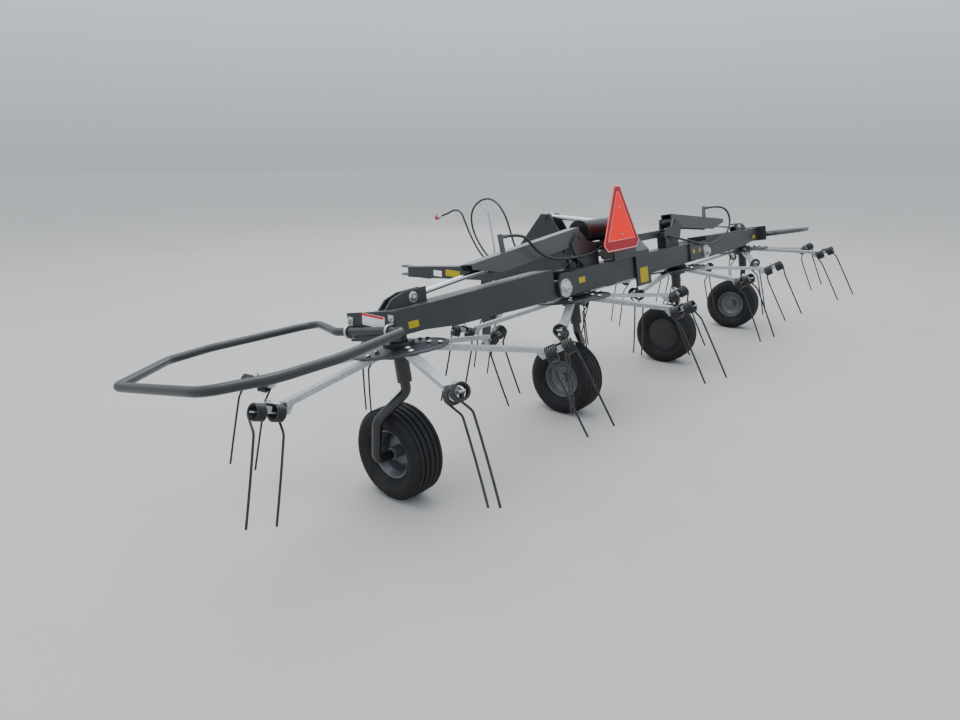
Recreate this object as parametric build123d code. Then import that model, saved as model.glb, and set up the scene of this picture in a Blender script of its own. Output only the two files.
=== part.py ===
"""Four-rotor hay tedder on its wheels and parking stand, wings spread for work.

All lengths are millimetres.  Ground coordinates have X across the machine, Y forward to the hitch and Z up
from the ground, with Y = 0 at the row of rotors.  Frame coordinates X, v, w lean forward with the rotors.
The written solids have their origin at the centre of the hitch pin's hole.
"""
from build123d import *
from math import cos, hypot, pi, radians, sin, tan
import os

# Rotor row
ROTOR_COUNT = 4
ROTOR_PITCH = 1300.0
HUB_HEIGHT = 674.0
LEAN_DEG = 10.15
ARM_COUNT = 6
PHASE_ODD_DEG = 3.0
RUNNING_GAP = 0.08
SEAT_GAP = 0.3

# Wheels
TYRE_DIAMETER = 406.0
TYRE_WIDTH = 165.0
BEAD_RADIUS = 104.0
WHEEL_AHEAD = 23.0
AXLE_RADIUS = 12.5
HUB_RADIUS = 27.0
LEG_RADIUS = 21.0
LEG_TYRE_GAP = 24.0
SLEEVE_RADIUS = 31.0
SLEEVE_LENGTH = 100.0

# Rotor
SPINDLE_RADIUS = 38.0
SPINDLE_DROP = 50.0
ROTOR_HUB_RADIUS = 66.0
ROTOR_HUB_TOP = 18.0
ROTOR_HUB_LOW = -44.0
PLATE_RADIUS = 205.0
PLATE_SHEET = 5.0
PLATE_BEAD = 7.0
ARM_WIDTH = 40.0
ARM_HEIGHT = 20.0
ARM_ROOT_RADIUS = 96.0
ARM_TIP_RADIUS = 645.0
ARM_TIP_LEVEL = -90.0
ARM_SLOPE_DEG = 8.0
ARM_END_SETBACK = 66.0
HOLDER_WIDTH = 24.0
HOLDER_SHEET = 6.0

# Tines
WIRE = 9.0
COIL_RADIUS = 27.0
COIL_TURNS = 5
WIRE_SINK = 0.4
COIL_SPACING = 69.0
TINE_FLARE_DEG = 19.0
TINE_LENGTH = 375.0
TINE_KNEE = 66.0
TINE_SLANT_DEG = 38.0

# Frame beams
BEAM_REAR = -110.0
BEAM_FRONT = 40.0
BEAM_LOW = 28.0
CENTRE_HIGH = 153.0
HINGE_X = 900.0
HINGE_LEVEL = 75.0
HINGE_PIN_RADIUS = 16.0
HINGE_WASHER_RADIUS = 46.0
CENTRE_END = 755.0
EAR_SHEET = 12.0
EAR_GAP = 5.0
EAR_REACH = 52.0
WING_START = 966.0
WING_HIGH_IN = 178.0
WING_HIGH_OUT = 155.0
WING_LOW_OUT = 54.0
WING_FLAT = 1888.0
WING_END = 2075.0
END_PLATE_SHEET = 12.0
END_PLATE_REAR = -160.0
END_PLATE_FRONT = 125.0

# Wing cylinders
CYL_PIVOT_X = 600.0
CYL_PIVOT_LEVEL = 315.0
CYL_EYE_X = 1856.0
CYL_EYE_LEVEL = 184.0
CYL_PIN_RADIUS = 12.0
BARREL_RADIUS = 27.0
BARREL_LENGTH = 612.0
ROD_RADIUS = 12.5
ROD_INSERT = 50.0
ROD_STROKE = 525.0
CHANNEL_LENGTH = 885.0
CHANNEL_TAPER = 200.0
CHANNEL_END_LEVEL = 24.0
CHANNEL_INSIDE = 66.0
CHANNEL_SHEET = 5.0
CHANNEL_TOP = 50.0
BRACKET_SHEET = 10.0
BRACKET_INNER = -75.0
BRACKET_OUTER = 156.0
# columns: distance outboard of the rod's eye, height above it
BRACKET_TOP = [(-80.0, 34.0), (46.0, 28.0), (114.0, 8.0)]
EYE_WIDTH = 30.0
EYE_SIDE_GAP = 0.5

# Bridge over the centre beam
BRIDGE_HALF = CYL_PIVOT_X + 45.0
BRIDGE_LOW = 226.0
BRIDGE_HIGH = 271.0
BRIDGE_HALF_WIDTH = 30.0
POST_X = CYL_PIVOT_X - 85.0
POST_SHEET = 40.0
# columns: distance outboard of the cylinder's pivot, level
BRIDGE_REAR_PLATE = [
    (-170.0, 153.0), (-170.0, 272.0), (-66.0, 287.0), (-24.0, 337.0), (24.0, 337.0), (90.0, 285.0), (55.0, 200.0),
    (0.0, 168.0), (0.0, 153.0),
]

# Guards
GUARD_RADIUS = 17.0
GUARD_LEVEL = 89.0
GUARD_DROOP_DEG = 2.0
CLAMPS_AHEAD = (-138.0, 105.0)
# columns: distance outboard of the leg on the wing's end plate, forward offset, corner radius
GUARD_POINTS = [
    (0.0, -218.0, 60.0),
    (380.0, -325.0, 300.0),
    (600.0, -318.0, 150.0),
    (765.0, -190.0, 120.0),
    (797.0, 345.0, 70.0),
    (480.0, 665.0, 120.0),
    (280.0, 705.0, 150.0),
    (-190.0, 585.0, 70.0),
    (0.0, 190.0, 100.0),
]

# Drawbar and hitch
HITCH_Y = 2020.0
HITCH_Z = 524.0
HITCH_GAP = 54.0
HITCH_PLATE = 10.0
HITCH_PIN_RADIUS = 13.5
HITCH_NOSE = 38.0
HITCH_WIDTH = 76.0
DRAWBAR_FRONT = 1950.0
DRAWBAR_REAR = 120.0
DRAWBAR_WIDTH = 90.0
DRAWBAR_TOP_FRONT = 561.0
DRAWBAR_LOW_FRONT = 478.0
DRAWBAR_TOP_REAR = 758.0
DRAWBAR_LOW_REAR = 628.0
CHEEK_SHEET = 10.0
APEX_Y = 610.0
APEX_Z = 1030.0
APEX_PIN_RADIUS = 11.0
LINK_RADIUS = 15.0
MAST_PIN_V = 148.0
MAST_PIN_W = 375.0

# Hydraulic lines and pull rope
HOSE_RADIUS = 7.0
ROPE_RADIUS = 3.0
HOLDER_ROD = 6.0
TEE_LEFT = -135.0
TEE_RIGHT = -92.0
TEE_V = 45.0
TEE_W = 241.0
TEE_SIZE = 30.0
PORT_RADIUS = 13.0
PORT_ALONG = 608.0
PORT_HEIGHT = 85.0
REAR_BLOCK_X = 390.0
REAR_BLOCK_W = 240.0
FERRULE_RADIUS = 9.5
FERRULE_LENGTH = 21.0
# columns: X, v, w of each point
LEFT_ARM_HOSE = [
    (-1187, -19, 372.8), (-1119, -61.2, 372.8), (-1075, -76, 315), (-1015, -76, 268), (-940, -72, 238),
    (-855, -68, 222), (-770, -66, 215), (-697, -66, 213),
]
LEFT_FRAME_HOSE = [
    (-697, -66, 213), (-624, -66, 211), (-560, -65, 213), (-500, -64, 219), (-455, -63, 227), (-424, -62, 234),
]
RIGHT_ARM_HOSE = [
    (1233.8, -32.1, 372.8), (1255.4, -75, 372.8), (1288, -112, 362), (1322, -133, 333), (1342, -141, 288),
    (1338, -143, 238), (1292, -143, 188), (1215, -143, 153), (1110, -142, 132), (985, -142, 124),
    (892, -141, 127), (830, -138, 134),
]
RIGHT_FRAME_HOSE = [
    (830, -138, 134), (768, -135, 141), (705, -133, 158), (640, -110, 176), (575, -84, 196), (510, -70, 215),
    (455, -65, 230), (424, -62, 238),
]
# columns: X, Y, Z of each point on the ground
SUPPLY_HOSE = [
    (-16, 1580, 985), (-16, 1520, 1004), (-17, 1455, 1036), (-18, 1388, 1022), (-20, 1350, 950), (-22, 1296, 858),
    (-24, 1236, 776), (-26, 1176, 716), (-27, 1112, 676),
]
FEED_HOSE = [
    (24, 1112, 676), (24, 1156, 703), (24, 1216, 756), (23, 1280, 835), (22, 1325, 930), (20, 1322, 1030),
    (18, 1255, 1100), (16, 1165, 1128), (12, 1075, 1102), (8, 995, 1015), (2, 945, 905), (-4, 900, 805),
    (-8, 830, 735), (-12, 730, 705), (-14, 620, 714), (-12, 510, 724), (-14, 430, 734), (-48, 345, 760),
    (-88, 262, 806), (-110, 190, 862), (-113.5, 118, 898),
]
PULL_ROPE = [
    (65, 610, 1030), (102, 610, 1030), (160, 565, 1008), (235, 500, 984), (315, 425, 968), (395, 350, 964),
    (475, 275, 970), (550, 205, 976), (592, 166, 966), (600, 150, 967.2), (600, 112.8, 973.9),
]

# Parking stand
STAND_X = 92.0
STAND_Y = 1235.0
STAND_SLEEVE = 32.0
STAND_TUBE = 25.0
STAND_FOOT = 70.0
STAND_FOOT_SHEET = 8.0
STAND_TOP = 655.0
STAND_SLEEVE_LOW = 420.0

# Rear sign, bracket and document tube
SIGN_X = -300.0
SIGN_WIDTH = 406.0
SIGN_HEIGHT = 356.0
SIGN_SHEET = 3.0
SIGN_LOW = 208.0
SIGN_REAR = -134.0
TUBE_RADIUS = 62.0
TUBE_START = -BRIDGE_HALF + 117.0
TUBE_END = TUBE_START + 338.0

FRAME = Location((0, 0, HUB_HEIGHT), (-LEAN_DEG, 0, 0))
LOW_END = (Align.CENTER, Align.CENTER, Align.MIN)
TO_HITCH = Location((0, -HITCH_Y, -HITCH_Z))
ROTOR_X = [(i - (ROTOR_COUNT - 1) / 2) * ROTOR_PITCH for i in range(ROTOR_COUNT)]
PHASE_DEG = [PHASE_ODD_DEG if i % 2 == 0 else 30 - PHASE_ODD_DEG for i in range(ROTOR_COUNT)]
LEG_SIDE = [-1, 1, 1, 1]
SIDES = {"left": -1, "right": 1}
LEAN = radians(LEAN_DEG)

nodes = {}


def box(x0, x1, y0, y1, z0, z1):
    """Box between two corners."""
    return Pos((x0 + x1) / 2, (y0 + y1) / 2, (z0 + z1) / 2) * Box(x1 - x0, y1 - y0, z1 - z0)


def rod(start, end, radius):
    """Round bar from one point to another."""
    run = Vector(end) - Vector(start)
    return Plane(origin=start, z_dir=run) * Cylinder(radius, run.length, align=LOW_END)


def bar_x(y, z, radius, x0, x1):
    """Round bar along X."""
    return rod((x0, y, z), (x1, y, z), radius)


def plate_x(points, x0, x1):
    """Plate in the YZ plane with the given outline, from x0 to x1."""
    face = make_face(Polyline(*[(0, y, z) for y, z in points], close=True))
    return Pos(x0, 0, 0) * extrude(face, amount=x1 - x0, dir=(1, 0, 0))


def plate_y(points, y0, y1):
    """Plate in the XZ plane with the given outline, from y0 to y1."""
    face = make_face(Polyline(*[(x, 0, z) for x, z in points], close=True))
    return Pos(0, y0, 0) * extrude(face, amount=y1 - y0, dir=(0, 1, 0))


def to_ground(v, w):
    """Ground Y and Z of a point given in frame coordinates."""
    return v * cos(LEAN) + w * sin(LEAN), HUB_HEIGHT - v * sin(LEAN) + w * cos(LEAN)


def to_frame(y, z):
    """Frame v and w of a point given in ground coordinates."""
    return y * cos(LEAN) - (z - HUB_HEIGHT) * sin(LEAN), y * sin(LEAN) + (z - HUB_HEIGHT) * cos(LEAN)


def turned(profile, centre=(0, 0, 0)):
    """Body of revolution about the upright axis from (radius, level) points."""
    face = make_face(Polyline(*[(r, 0, z) for r, z in profile], close=True))
    return Pos(*centre) * revolve(face, Axis.Z)


def tyre():
    """Ribbed implement tyre about the X axis, centred on its own middle."""
    outer = TYRE_DIAMETER / 2
    half = TYRE_WIDTH / 2
    groove, deep = 3.5, 7.0
    points = [(-half * 0.55, BEAD_RADIUS), (-half * 0.62, BEAD_RADIUS + 12), (-half, outer * 0.74),
              (-half * 0.97, outer * 0.87), (-half * 0.80, outer * 0.965)]
    for centre in (-42.0, -14.0, 14.0, 42.0):
        points += [(centre - groove - 2, outer), (centre - groove, outer - deep),
                   (centre + groove, outer - deep), (centre + groove + 2, outer)]
    points += [(-x, r) for x, r in points[4::-1]]
    face = make_face(Polyline(*[(x, 0, r) for x, r in points], close=True))
    return revolve(face, Axis.X)


def rim(side):
    """Pressed wheel with its hub.  The open side of the dish faces side along X."""
    seat = BEAD_RADIUS - SEAT_GAP
    half = TYRE_WIDTH / 2 * 0.55
    sheet = 4.0
    dish = -side * 22.0
    barrel = [(-half, seat), (-half - sheet, seat + 8), (-half - 2 * sheet, seat + 8), (-half - sheet, seat - sheet),
              (-20, seat - 14 - sheet), (20, seat - 14 - sheet), (half + sheet, seat - sheet),
              (half + 2 * sheet, seat + 8), (half + sheet, seat + 8), (half, seat), (20, seat - 14), (-20, seat - 14)]
    disc = [(dish, seat - 14 - sheet + 1), (dish + side * 14, 60), (dish + side * 14, HUB_RADIUS - 1),
            (dish + side * (14 + sheet), HUB_RADIUS - 1), (dish + side * (14 + sheet), 61),
            (dish + side * sheet, seat - 14 - sheet + 1)]
    ring = revolve(make_face(Polyline(*[(x, 0, r) for x, r in barrel], close=True)), Axis.X)
    web = revolve(make_face(Polyline(*[(x, 0, r) for x, r in disc], close=True)), Axis.X)
    hub = bar_x(0, 0, HUB_RADIUS, -42, 42) - bar_x(0, 0, AXLE_RADIUS + RUNNING_GAP, -50, 50)
    return ring + web + hub


def wheel_leg(index):
    """Sleeve under the spindle, bent leg tube and axle of one wheel."""
    side = LEG_SIDE[index]
    x = ROTOR_X[index]
    reach = TYRE_WIDTH / 2 + LEG_TYRE_GAP + LEG_RADIUS
    axle_z = TYRE_DIAMETER / 2
    top_y, top_z = to_ground(0, -SPINDLE_DROP)
    low_y, low_z = to_ground(0, -SPINDLE_DROP - SLEEVE_LENGTH)
    knee_y, knee_z = to_ground(0, -SPINDLE_DROP - SLEEVE_LENGTH - 42)
    path = FilletPolyline(
        (x, low_y, low_z), (x, knee_y, knee_z), (x + side * reach, WHEEL_AHEAD - 14, axle_z + 178),
        (x + side * reach, WHEEL_AHEAD, axle_z), (x + side * (HUB_RADIUS + 24), WHEEL_AHEAD, axle_z),
        radius=[34, 60, 36])
    tube = sweep(Plane(origin=path @ 0, z_dir=path % 0) * Circle(LEG_RADIUS), path=path)
    sleeve = rod((x, top_y, top_z), (x, low_y, low_z), SLEEVE_RADIUS)
    axle = bar_x(WHEEL_AHEAD, axle_z, AXLE_RADIUS, x + side * (HUB_RADIUS + 25), x - side * 48)
    return sleeve + tube + axle


def gearbox(index, low, high):
    """Spindle under the beam, with a ribbed bevel housing on the centre beam, in frame coordinates."""
    x = ROTOR_X[index]
    spindle = rod((x, 0, low), (x, 0, -SPINDLE_DROP), SPINDLE_RADIUS)
    if abs(x) > HINGE_X:
        return spindle
    flange = rod((x, 0, high), (x, 0, high + 12), BEAM_FRONT - 2)
    dome = turned([(0, high + 12), (36, high + 12), (36, high + 34), (27, high + 50), (0, high + 52)], (x, 0, 0))
    caps = bar_x(0, high + 28, 19, x - 50, x + 50)
    ribs = [Pos(x, 0, high) * Rot(0, 0, turn) * plate_y([(30, 11), (37, 11), (28, 44), (22, 44)], -2.5, 2.5)
            for turn in (45, 90, 135, 225, 270, 315)]
    upper = flange + dome + caps
    for rib in ribs:
        upper += rib
    return Compound([spindle, upper.solids()[0]])


def arm_level(radius):
    """Level of an arm's centre line at a radius."""
    return ARM_TIP_LEVEL + (ARM_TIP_RADIUS - radius) * tan(radians(ARM_SLOPE_DEG))


def plate_under(radius):
    """Level of the plate's underside, on which the arms are bolted."""
    return arm_level(radius) + ARM_HEIGHT / 2 / cos(radians(ARM_SLOPE_DEG)) + SEAT_GAP


def rotor_plate():
    """Coned rotor plate with a rolled rim on its hub, axis on Z, centred on the rotor."""
    inner, edge = ROTOR_HUB_RADIUS - 1, PLATE_RADIUS - PLATE_BEAD
    low = plate_under(edge)
    shell = turned([(inner, plate_under(inner)), (inner, plate_under(inner) + PLATE_SHEET),
                    (edge - PLATE_BEAD, plate_under(edge - PLATE_BEAD) + PLATE_SHEET), (edge - 4, low + 10),
                    (edge + 1, low + 12), (edge + 6, low + 10), (edge + PLATE_BEAD, low + 5), (edge + 4, low)])
    hub = rod((0, 0, ROTOR_HUB_LOW), (0, 0, ROTOR_HUB_TOP), ROTOR_HUB_RADIUS)
    bore = rod((0, 0, -SPINDLE_DROP), (0, 0, ROTOR_HUB_TOP + 5), SPINDLE_RADIUS + RUNNING_GAP)
    bolts = [Rot(0, 0, k * 60) * Pos(r, 0, plate_under(r) + PLATE_SHEET - 1) * Cylinder(8, 9, align=LOW_END)
             for k in range(ARM_COUNT) for r in (PLATE_RADIUS - 80, PLATE_RADIUS - 34)]
    plate = shell + hub
    for bolt in bolts:
        plate += bolt
    return plate - bore


def tine_arm(turn):
    """Arm under the plate with the holder that reaches through its coils, turned about Z."""
    slope = ARM_SLOPE_DEG
    length = (ARM_TIP_RADIUS - ARM_ROOT_RADIUS) / cos(radians(slope)) - ARM_END_SETBACK
    bar = Pos(ARM_ROOT_RADIUS, 0, arm_level(ARM_ROOT_RADIUS)) * Rot(0, slope, 0) * box(
        0, length, -ARM_WIDTH / 2, ARM_WIDTH / 2, -ARM_HEIGHT / 2, ARM_HEIGHT / 2)
    coil_end = COIL_SPACING / 2 + COIL_TURNS * WIRE / 2
    half, sheet = HOLDER_WIDTH / 2, HOLDER_SHEET / 2
    lean = radians(TINE_FLARE_DEG + slope)
    end_x, end_z = -ARM_END_SETBACK * cos(lean), ARM_END_SETBACK * sin(lean)
    drop_x, drop_z = ARM_HEIGHT / 2 * sin(lean), ARM_HEIGHT / 2 * cos(lean)
    web = plate_y([(-coil_end - 3, -sheet), (-coil_end - 3, end_z - drop_z + 2), (end_x - drop_x, end_z - drop_z + 2),
                   (end_x - drop_x - 34 * cos(lean), end_z - drop_z + 2 + 34 * sin(lean)), (-coil_end - 22, -sheet)],
                  -half, half)
    tongue = box(-coil_end - 20, coil_end + 4, -half, half, -sheet, sheet)
    post = box(-10, 10, -8, 8, 0, COIL_RADIUS - WIRE / 2 - WIRE_SINK - 0.1)
    holder = coil_frame() * (web + tongue + post)
    return Rot(0, 0, turn) * (bar + holder)


def coil_frame():
    """Place of the coils at the arm's tip: X along the coils, Z up."""
    return Pos(ARM_TIP_RADIUS, 0, ARM_TIP_LEVEL) * Rot(0, -TINE_FLARE_DEG, 0)


def double_tine(turn):
    """Two coils on one arm with their legs and the loop between them, turned about Z."""
    half = COIL_TURNS * WIRE / 2
    slant = radians(TINE_SLANT_DEG)
    wire = WIRE / 2
    outer = COIL_RADIUS + wire
    mean = COIL_RADIUS - WIRE_SINK
    tine = rod((-COIL_SPACING / 2, 0, mean), (COIL_SPACING / 2, 0, mean), wire)
    for hand in (-1, 1):
        middle = hand * COIL_SPACING / 2
        groove = [(middle - half + k * WIRE + step, outer - sink) for k in range(COIL_TURNS)
                  for step, sink in ((0, 2.5), (wire, 0))]
        outline = [(middle - half, COIL_RADIUS - wire), *groove, (middle + half, outer - 2.5),
                   (middle + half, COIL_RADIUS - wire)]
        tine += revolve(make_face(Polyline(*[(x, 0, r) for x, r in outline], close=True)), Axis.X)
        leg_x = middle + half - wire - WIRE_SINK
        start = (leg_x, -mean * cos(slant), -mean * sin(slant))
        knee = (leg_x, start[1] + TINE_KNEE * sin(slant), start[2] - TINE_KNEE * cos(slant))
        path = FilletPolyline(start, knee, (leg_x, knee[1] + 8, -TINE_LENGTH), radius=30)
        tine += sweep(Plane(origin=path @ 0, z_dir=path % 0) * Circle(wire), path=path)
    return Rot(0, 0, turn) * coil_frame() * tine


def rotor(index):
    """Plate, arms and tines of one rotor in its place."""
    place = FRAME * Pos(ROTOR_X[index], 0, 0)
    turns = [PHASE_DEG[index] + k * 360 / ARM_COUNT for k in range(ARM_COUNT)]
    number = index + 1
    nodes[f"rotor_plate_{number}"] = place * Rot(0, 0, turns[0]) * rotor_plate()
    nodes[f"tine_arms_{number}"] = Compound([place * tine_arm(turn) for turn in turns])
    nodes[f"tines_{number}"] = Compound([place * double_tine(turn) for turn in turns])


def centre_beam():
    """Box beam with an ear pair and a hinge pin at each end, in frame coordinates."""
    beam = box(-CENTRE_END, CENTRE_END, BEAM_REAR, BEAM_FRONT, BEAM_LOW, CENTRE_HIGH)
    for side in (-1, 1):
        outline = [(side * (CENTRE_END - 110), BEAM_LOW + 6), (side * (HINGE_X + 20), BEAM_LOW + 2),
                   (side * (HINGE_X + EAR_REACH), HINGE_LEVEL - 18), (side * (HINGE_X + EAR_REACH), HINGE_LEVEL + 28),
                   (side * (HINGE_X + 18), CENTRE_HIGH - 2), (side * (CENTRE_END - 110), CENTRE_HIGH - 6)]
        for low, high in ((BEAM_REAR - EAR_SHEET, BEAM_REAR), (BEAM_FRONT, BEAM_FRONT + EAR_SHEET)):
            beam += plate_y(outline, low, high)
        beam += rod((side * HINGE_X, BEAM_REAR - EAR_SHEET - 14, HINGE_LEVEL),
                    (side * HINGE_X, BEAM_FRONT + EAR_SHEET + 14, HINGE_LEVEL), HINGE_PIN_RADIUS)
        for face, step in ((BEAM_REAR - EAR_SHEET, -10), (BEAM_FRONT + EAR_SHEET, 10)):
            beam += rod((side * HINGE_X, face, HINGE_LEVEL), (side * HINGE_X, face + step, HINGE_LEVEL),
                        HINGE_WASHER_RADIUS)
    return beam


def wing_beam(side):
    """Tapered wing beam with its hinge tongue and end plate, in frame coordinates."""
    rear, front = BEAM_REAR + EAR_GAP, BEAM_FRONT - EAR_GAP
    beam = plate_y([(side * WING_START, BEAM_LOW), (side * WING_START, WING_HIGH_IN),
                    (side * WING_FLAT, WING_HIGH_OUT), (side * WING_END, WING_HIGH_OUT),
                    (side * WING_END, WING_LOW_OUT), (side * WING_FLAT, WING_LOW_OUT),
                    (side * (WING_FLAT - 190), BEAM_LOW + 8)], rear, front)
    tongue_radius = HINGE_LEVEL - BEAM_LOW - 4
    tongue = rod((side * HINGE_X, rear, HINGE_LEVEL), (side * HINGE_X, front, HINGE_LEVEL), tongue_radius)
    tongue += box(min(side * HINGE_X, side * (WING_START + 4)), max(side * HINGE_X, side * (WING_START + 4)),
                  rear, front, HINGE_LEVEL - tongue_radius, HINGE_LEVEL + tongue_radius)
    bore = rod((side * HINGE_X, rear - 5, HINGE_LEVEL), (side * HINGE_X, front + 5, HINGE_LEVEL),
               HINGE_PIN_RADIUS + RUNNING_GAP)
    inner, outer = sorted((side * WING_END, side * (WING_END + END_PLATE_SHEET)))
    plate = box(inner, outer, END_PLATE_REAR, END_PLATE_FRONT, WING_LOW_OUT - 8, WING_HIGH_OUT + 6)
    return beam + tongue - bore + plate + wing_bracket(side)


def wing_bracket(side):
    """Pair of gusset plates with the pin that the cylinder's rod pulls, in frame coordinates."""
    def top(x):
        share = min(1.0, (x - WING_START) / (WING_FLAT - WING_START))
        return WING_HIGH_IN + share * (WING_HIGH_OUT - WING_HIGH_IN)
    outline = [(side * (CYL_EYE_X + along), top(CYL_EYE_X + along)) for along in (BRACKET_INNER, BRACKET_OUTER)]
    outline[1:1] = [(side * (CYL_EYE_X + along), CYL_EYE_LEVEL + rise) for along, rise in BRACKET_TOP]
    gap = EYE_WIDTH / 2 + EYE_SIDE_GAP
    pair = plate_y(outline, gap, gap + BRACKET_SHEET) + plate_y(outline, -gap - BRACKET_SHEET, -gap)
    outer = gap + BRACKET_SHEET
    for hand in (-1, 1):
        pair += rod((side * CYL_EYE_X, hand * gap, CYL_EYE_LEVEL), (side * CYL_EYE_X, hand * (outer + 6), CYL_EYE_LEVEL),
                    CYL_PIN_RADIUS + 3)
    return pair


def cylinder_place(side):
    """Frame with its origin on the inner pivot and X towards the rod's eye."""
    run_x = side * (CYL_EYE_X - CYL_PIVOT_X)
    run_z = CYL_EYE_LEVEL - CYL_PIVOT_LEVEL
    return Plane(origin=(side * CYL_PIVOT_X, 0, CYL_PIVOT_LEVEL), x_dir=(run_x, 0, run_z), z_dir=(run_z * side * -1, 0, run_x * side))


def cylinder_length():
    """Distance from the inner pivot to the rod's eye with the wing spread."""
    return hypot(CYL_EYE_X - CYL_PIVOT_X, CYL_EYE_LEVEL - CYL_PIVOT_LEVEL)


def eye(x, radius, pin_radius):
    """Ring across the cylinder at x along it."""
    ring = rod((x, -EYE_WIDTH / 2, 0), (x, EYE_WIDTH / 2, 0), radius)
    return ring, rod((x, -EYE_WIDTH, 0), (x, EYE_WIDTH, 0), pin_radius + RUNNING_GAP)


def cylinder(name, side):
    """Barrel, rod and locking channel of one wing cylinder."""
    place = FRAME * Location(cylinder_place(side))
    length = cylinder_length()
    ring, hole = eye(0, 24, CYL_PIN_RADIUS)
    barrel = ring + rod((18, 0, 0), (BARREL_LENGTH, 0, 0), BARREL_RADIUS)
    barrel -= hole
    barrel -= rod((BARREL_LENGTH - ROD_INSERT - ROD_STROKE, 0, 0), (BARREL_LENGTH + 1, 0, 0), ROD_RADIUS + RUNNING_GAP)
    nodes[f"cylinder_barrel_{name}"] = place * barrel
    ring, hole = eye(length, 22, CYL_PIN_RADIUS)
    nodes[f"cylinder_rod_{name}"] = place * (ring + rod((BARREL_LENGTH - ROD_INSERT, 0, 0), (length - 8, 0, 0), ROD_RADIUS) - hole)
    half = CHANNEL_INSIDE / 2
    side_outline = [(-26, CHANNEL_TOP), (CHANNEL_LENGTH, CHANNEL_TOP), (CHANNEL_LENGTH, CHANNEL_END_LEVEL),
                    (CHANNEL_LENGTH - CHANNEL_TAPER, -33), (30, -38), (-26, -10)]
    walls = plate_y(side_outline, half, half + CHANNEL_SHEET) + plate_y(side_outline, -half - CHANNEL_SHEET, -half)
    lid = box(-26, CHANNEL_LENGTH, -half - 1, half + 1, CHANNEL_TOP - CHANNEL_SHEET, CHANNEL_TOP)
    bush = rod((0, half + 1, 0), (0, EYE_WIDTH / 2, 0), 18) + rod((0, -half - 1, 0), (0, -EYE_WIDTH / 2, 0), 18)
    bore = rod((0, -60, 0), (0, 60, 0), CYL_PIN_RADIUS + RUNNING_GAP)
    port = rod((PORT_ALONG, 0, CHANNEL_TOP), (PORT_ALONG, 0, CHANNEL_TOP + PORT_HEIGHT), PORT_RADIUS)
    hose = LEFT_ARM_HOSE if side < 0 else RIGHT_ARM_HOSE
    nodes[f"lock_channel_{name}"] = place * (walls + lid + bush + port - bore) + FRAME * ferrule(hose[0], hose[1], 30)


def bridge():
    """Cross tube above the centre beam with its posts, cylinder clevises and link lugs, in frame coordinates."""
    tube = box(-BRIDGE_HALF, BRIDGE_HALF, -BRIDGE_HALF_WIDTH, BRIDGE_HALF_WIDTH, BRIDGE_LOW, BRIDGE_HIGH)
    outer = CHANNEL_INSIDE / 2 + CHANNEL_SHEET + 5
    for side in (-1, 1):
        low, high = sorted((side * (POST_X - POST_SHEET), side * (POST_X + POST_SHEET)))
        tube += box(low, high, -BRIDGE_HALF_WIDTH, BRIDGE_HALF_WIDTH, CENTRE_HIGH, BRIDGE_LOW + 1)
        outline = [(side * (CYL_PIVOT_X - 44), BRIDGE_LOW), (side * (CYL_PIVOT_X + 40), BRIDGE_LOW),
                   (side * (CYL_PIVOT_X + 24), CYL_PIVOT_LEVEL + 22), (side * (CYL_PIVOT_X - 24), CYL_PIVOT_LEVEL + 22)]
        tube += plate_y(outline, outer, outer + BRACKET_SHEET)
        outline = [(side * (CYL_PIVOT_X + along), level) for along, level in BRIDGE_REAR_PLATE]
        tube += plate_y(outline, -outer - BRACKET_SHEET, -outer)
        low, high = sorted((side * (CYL_PIVOT_X - 44), side * (CYL_PIVOT_X + 40)))
        tube += box(low, high, -outer - 1, outer + 1, BRIDGE_LOW, BRIDGE_LOW + 12)
        tube += rod((side * CYL_PIVOT_X, -outer - BRACKET_SHEET - 5, CYL_PIVOT_LEVEL),
                    (side * CYL_PIVOT_X, outer + BRACKET_SHEET + 5, CYL_PIVOT_LEVEL), CYL_PIN_RADIUS)
    lug = [(-25, BRIDGE_HIGH - 2), (BRIDGE_HALF_WIDTH, BRIDGE_LOW + 4), (MAST_PIN_V + 20, MAST_PIN_W - 8),
           (MAST_PIN_V + 14, MAST_PIN_W + 20), (MAST_PIN_V - 16, MAST_PIN_W + 20)]
    for start in (-28, 18):
        tube += plate_x(lug, start, start + 10)
    return tube + bar_x(MAST_PIN_V, MAST_PIN_W, APEX_PIN_RADIUS, -33, 33)


def saddle():
    """Bent plate behind the middle of the centre beam, in frame coordinates."""
    back = BEAM_REAR
    outline = [(back, BEAM_LOW - 14), (back - 12, BEAM_LOW - 14), (back - 12, CENTRE_HIGH + 26),
               (-BRIDGE_HALF_WIDTH - 12, BRIDGE_HIGH), (-BRIDGE_HALF_WIDTH, BRIDGE_HIGH),
               (-BRIDGE_HALF_WIDTH, BRIDGE_HIGH - 18), (back, CENTRE_HIGH + 20)]
    strap = [(back - 1, BEAM_LOW - 14), (back - 1, BEAM_LOW), (BEAM_FRONT, BEAM_LOW), (BEAM_FRONT, BEAM_LOW - 14)]
    return plate_x(outline, -38, 42) + plate_x(strap, -38, 42)


def sign():
    """Slow-vehicle triangle with cut corners, in frame coordinates."""
    half, cut = SIGN_WIDTH / 2, 32.0
    points = [(-half, 38), (-half + 40, 0), (half - 40, 0), (half, 38), (cut, SIGN_HEIGHT), (-cut, SIGN_HEIGHT)]
    return Pos(SIGN_X, 0, SIGN_LOW) * plate_y(points, SIGN_REAR - SIGN_SHEET, SIGN_REAR)


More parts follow.
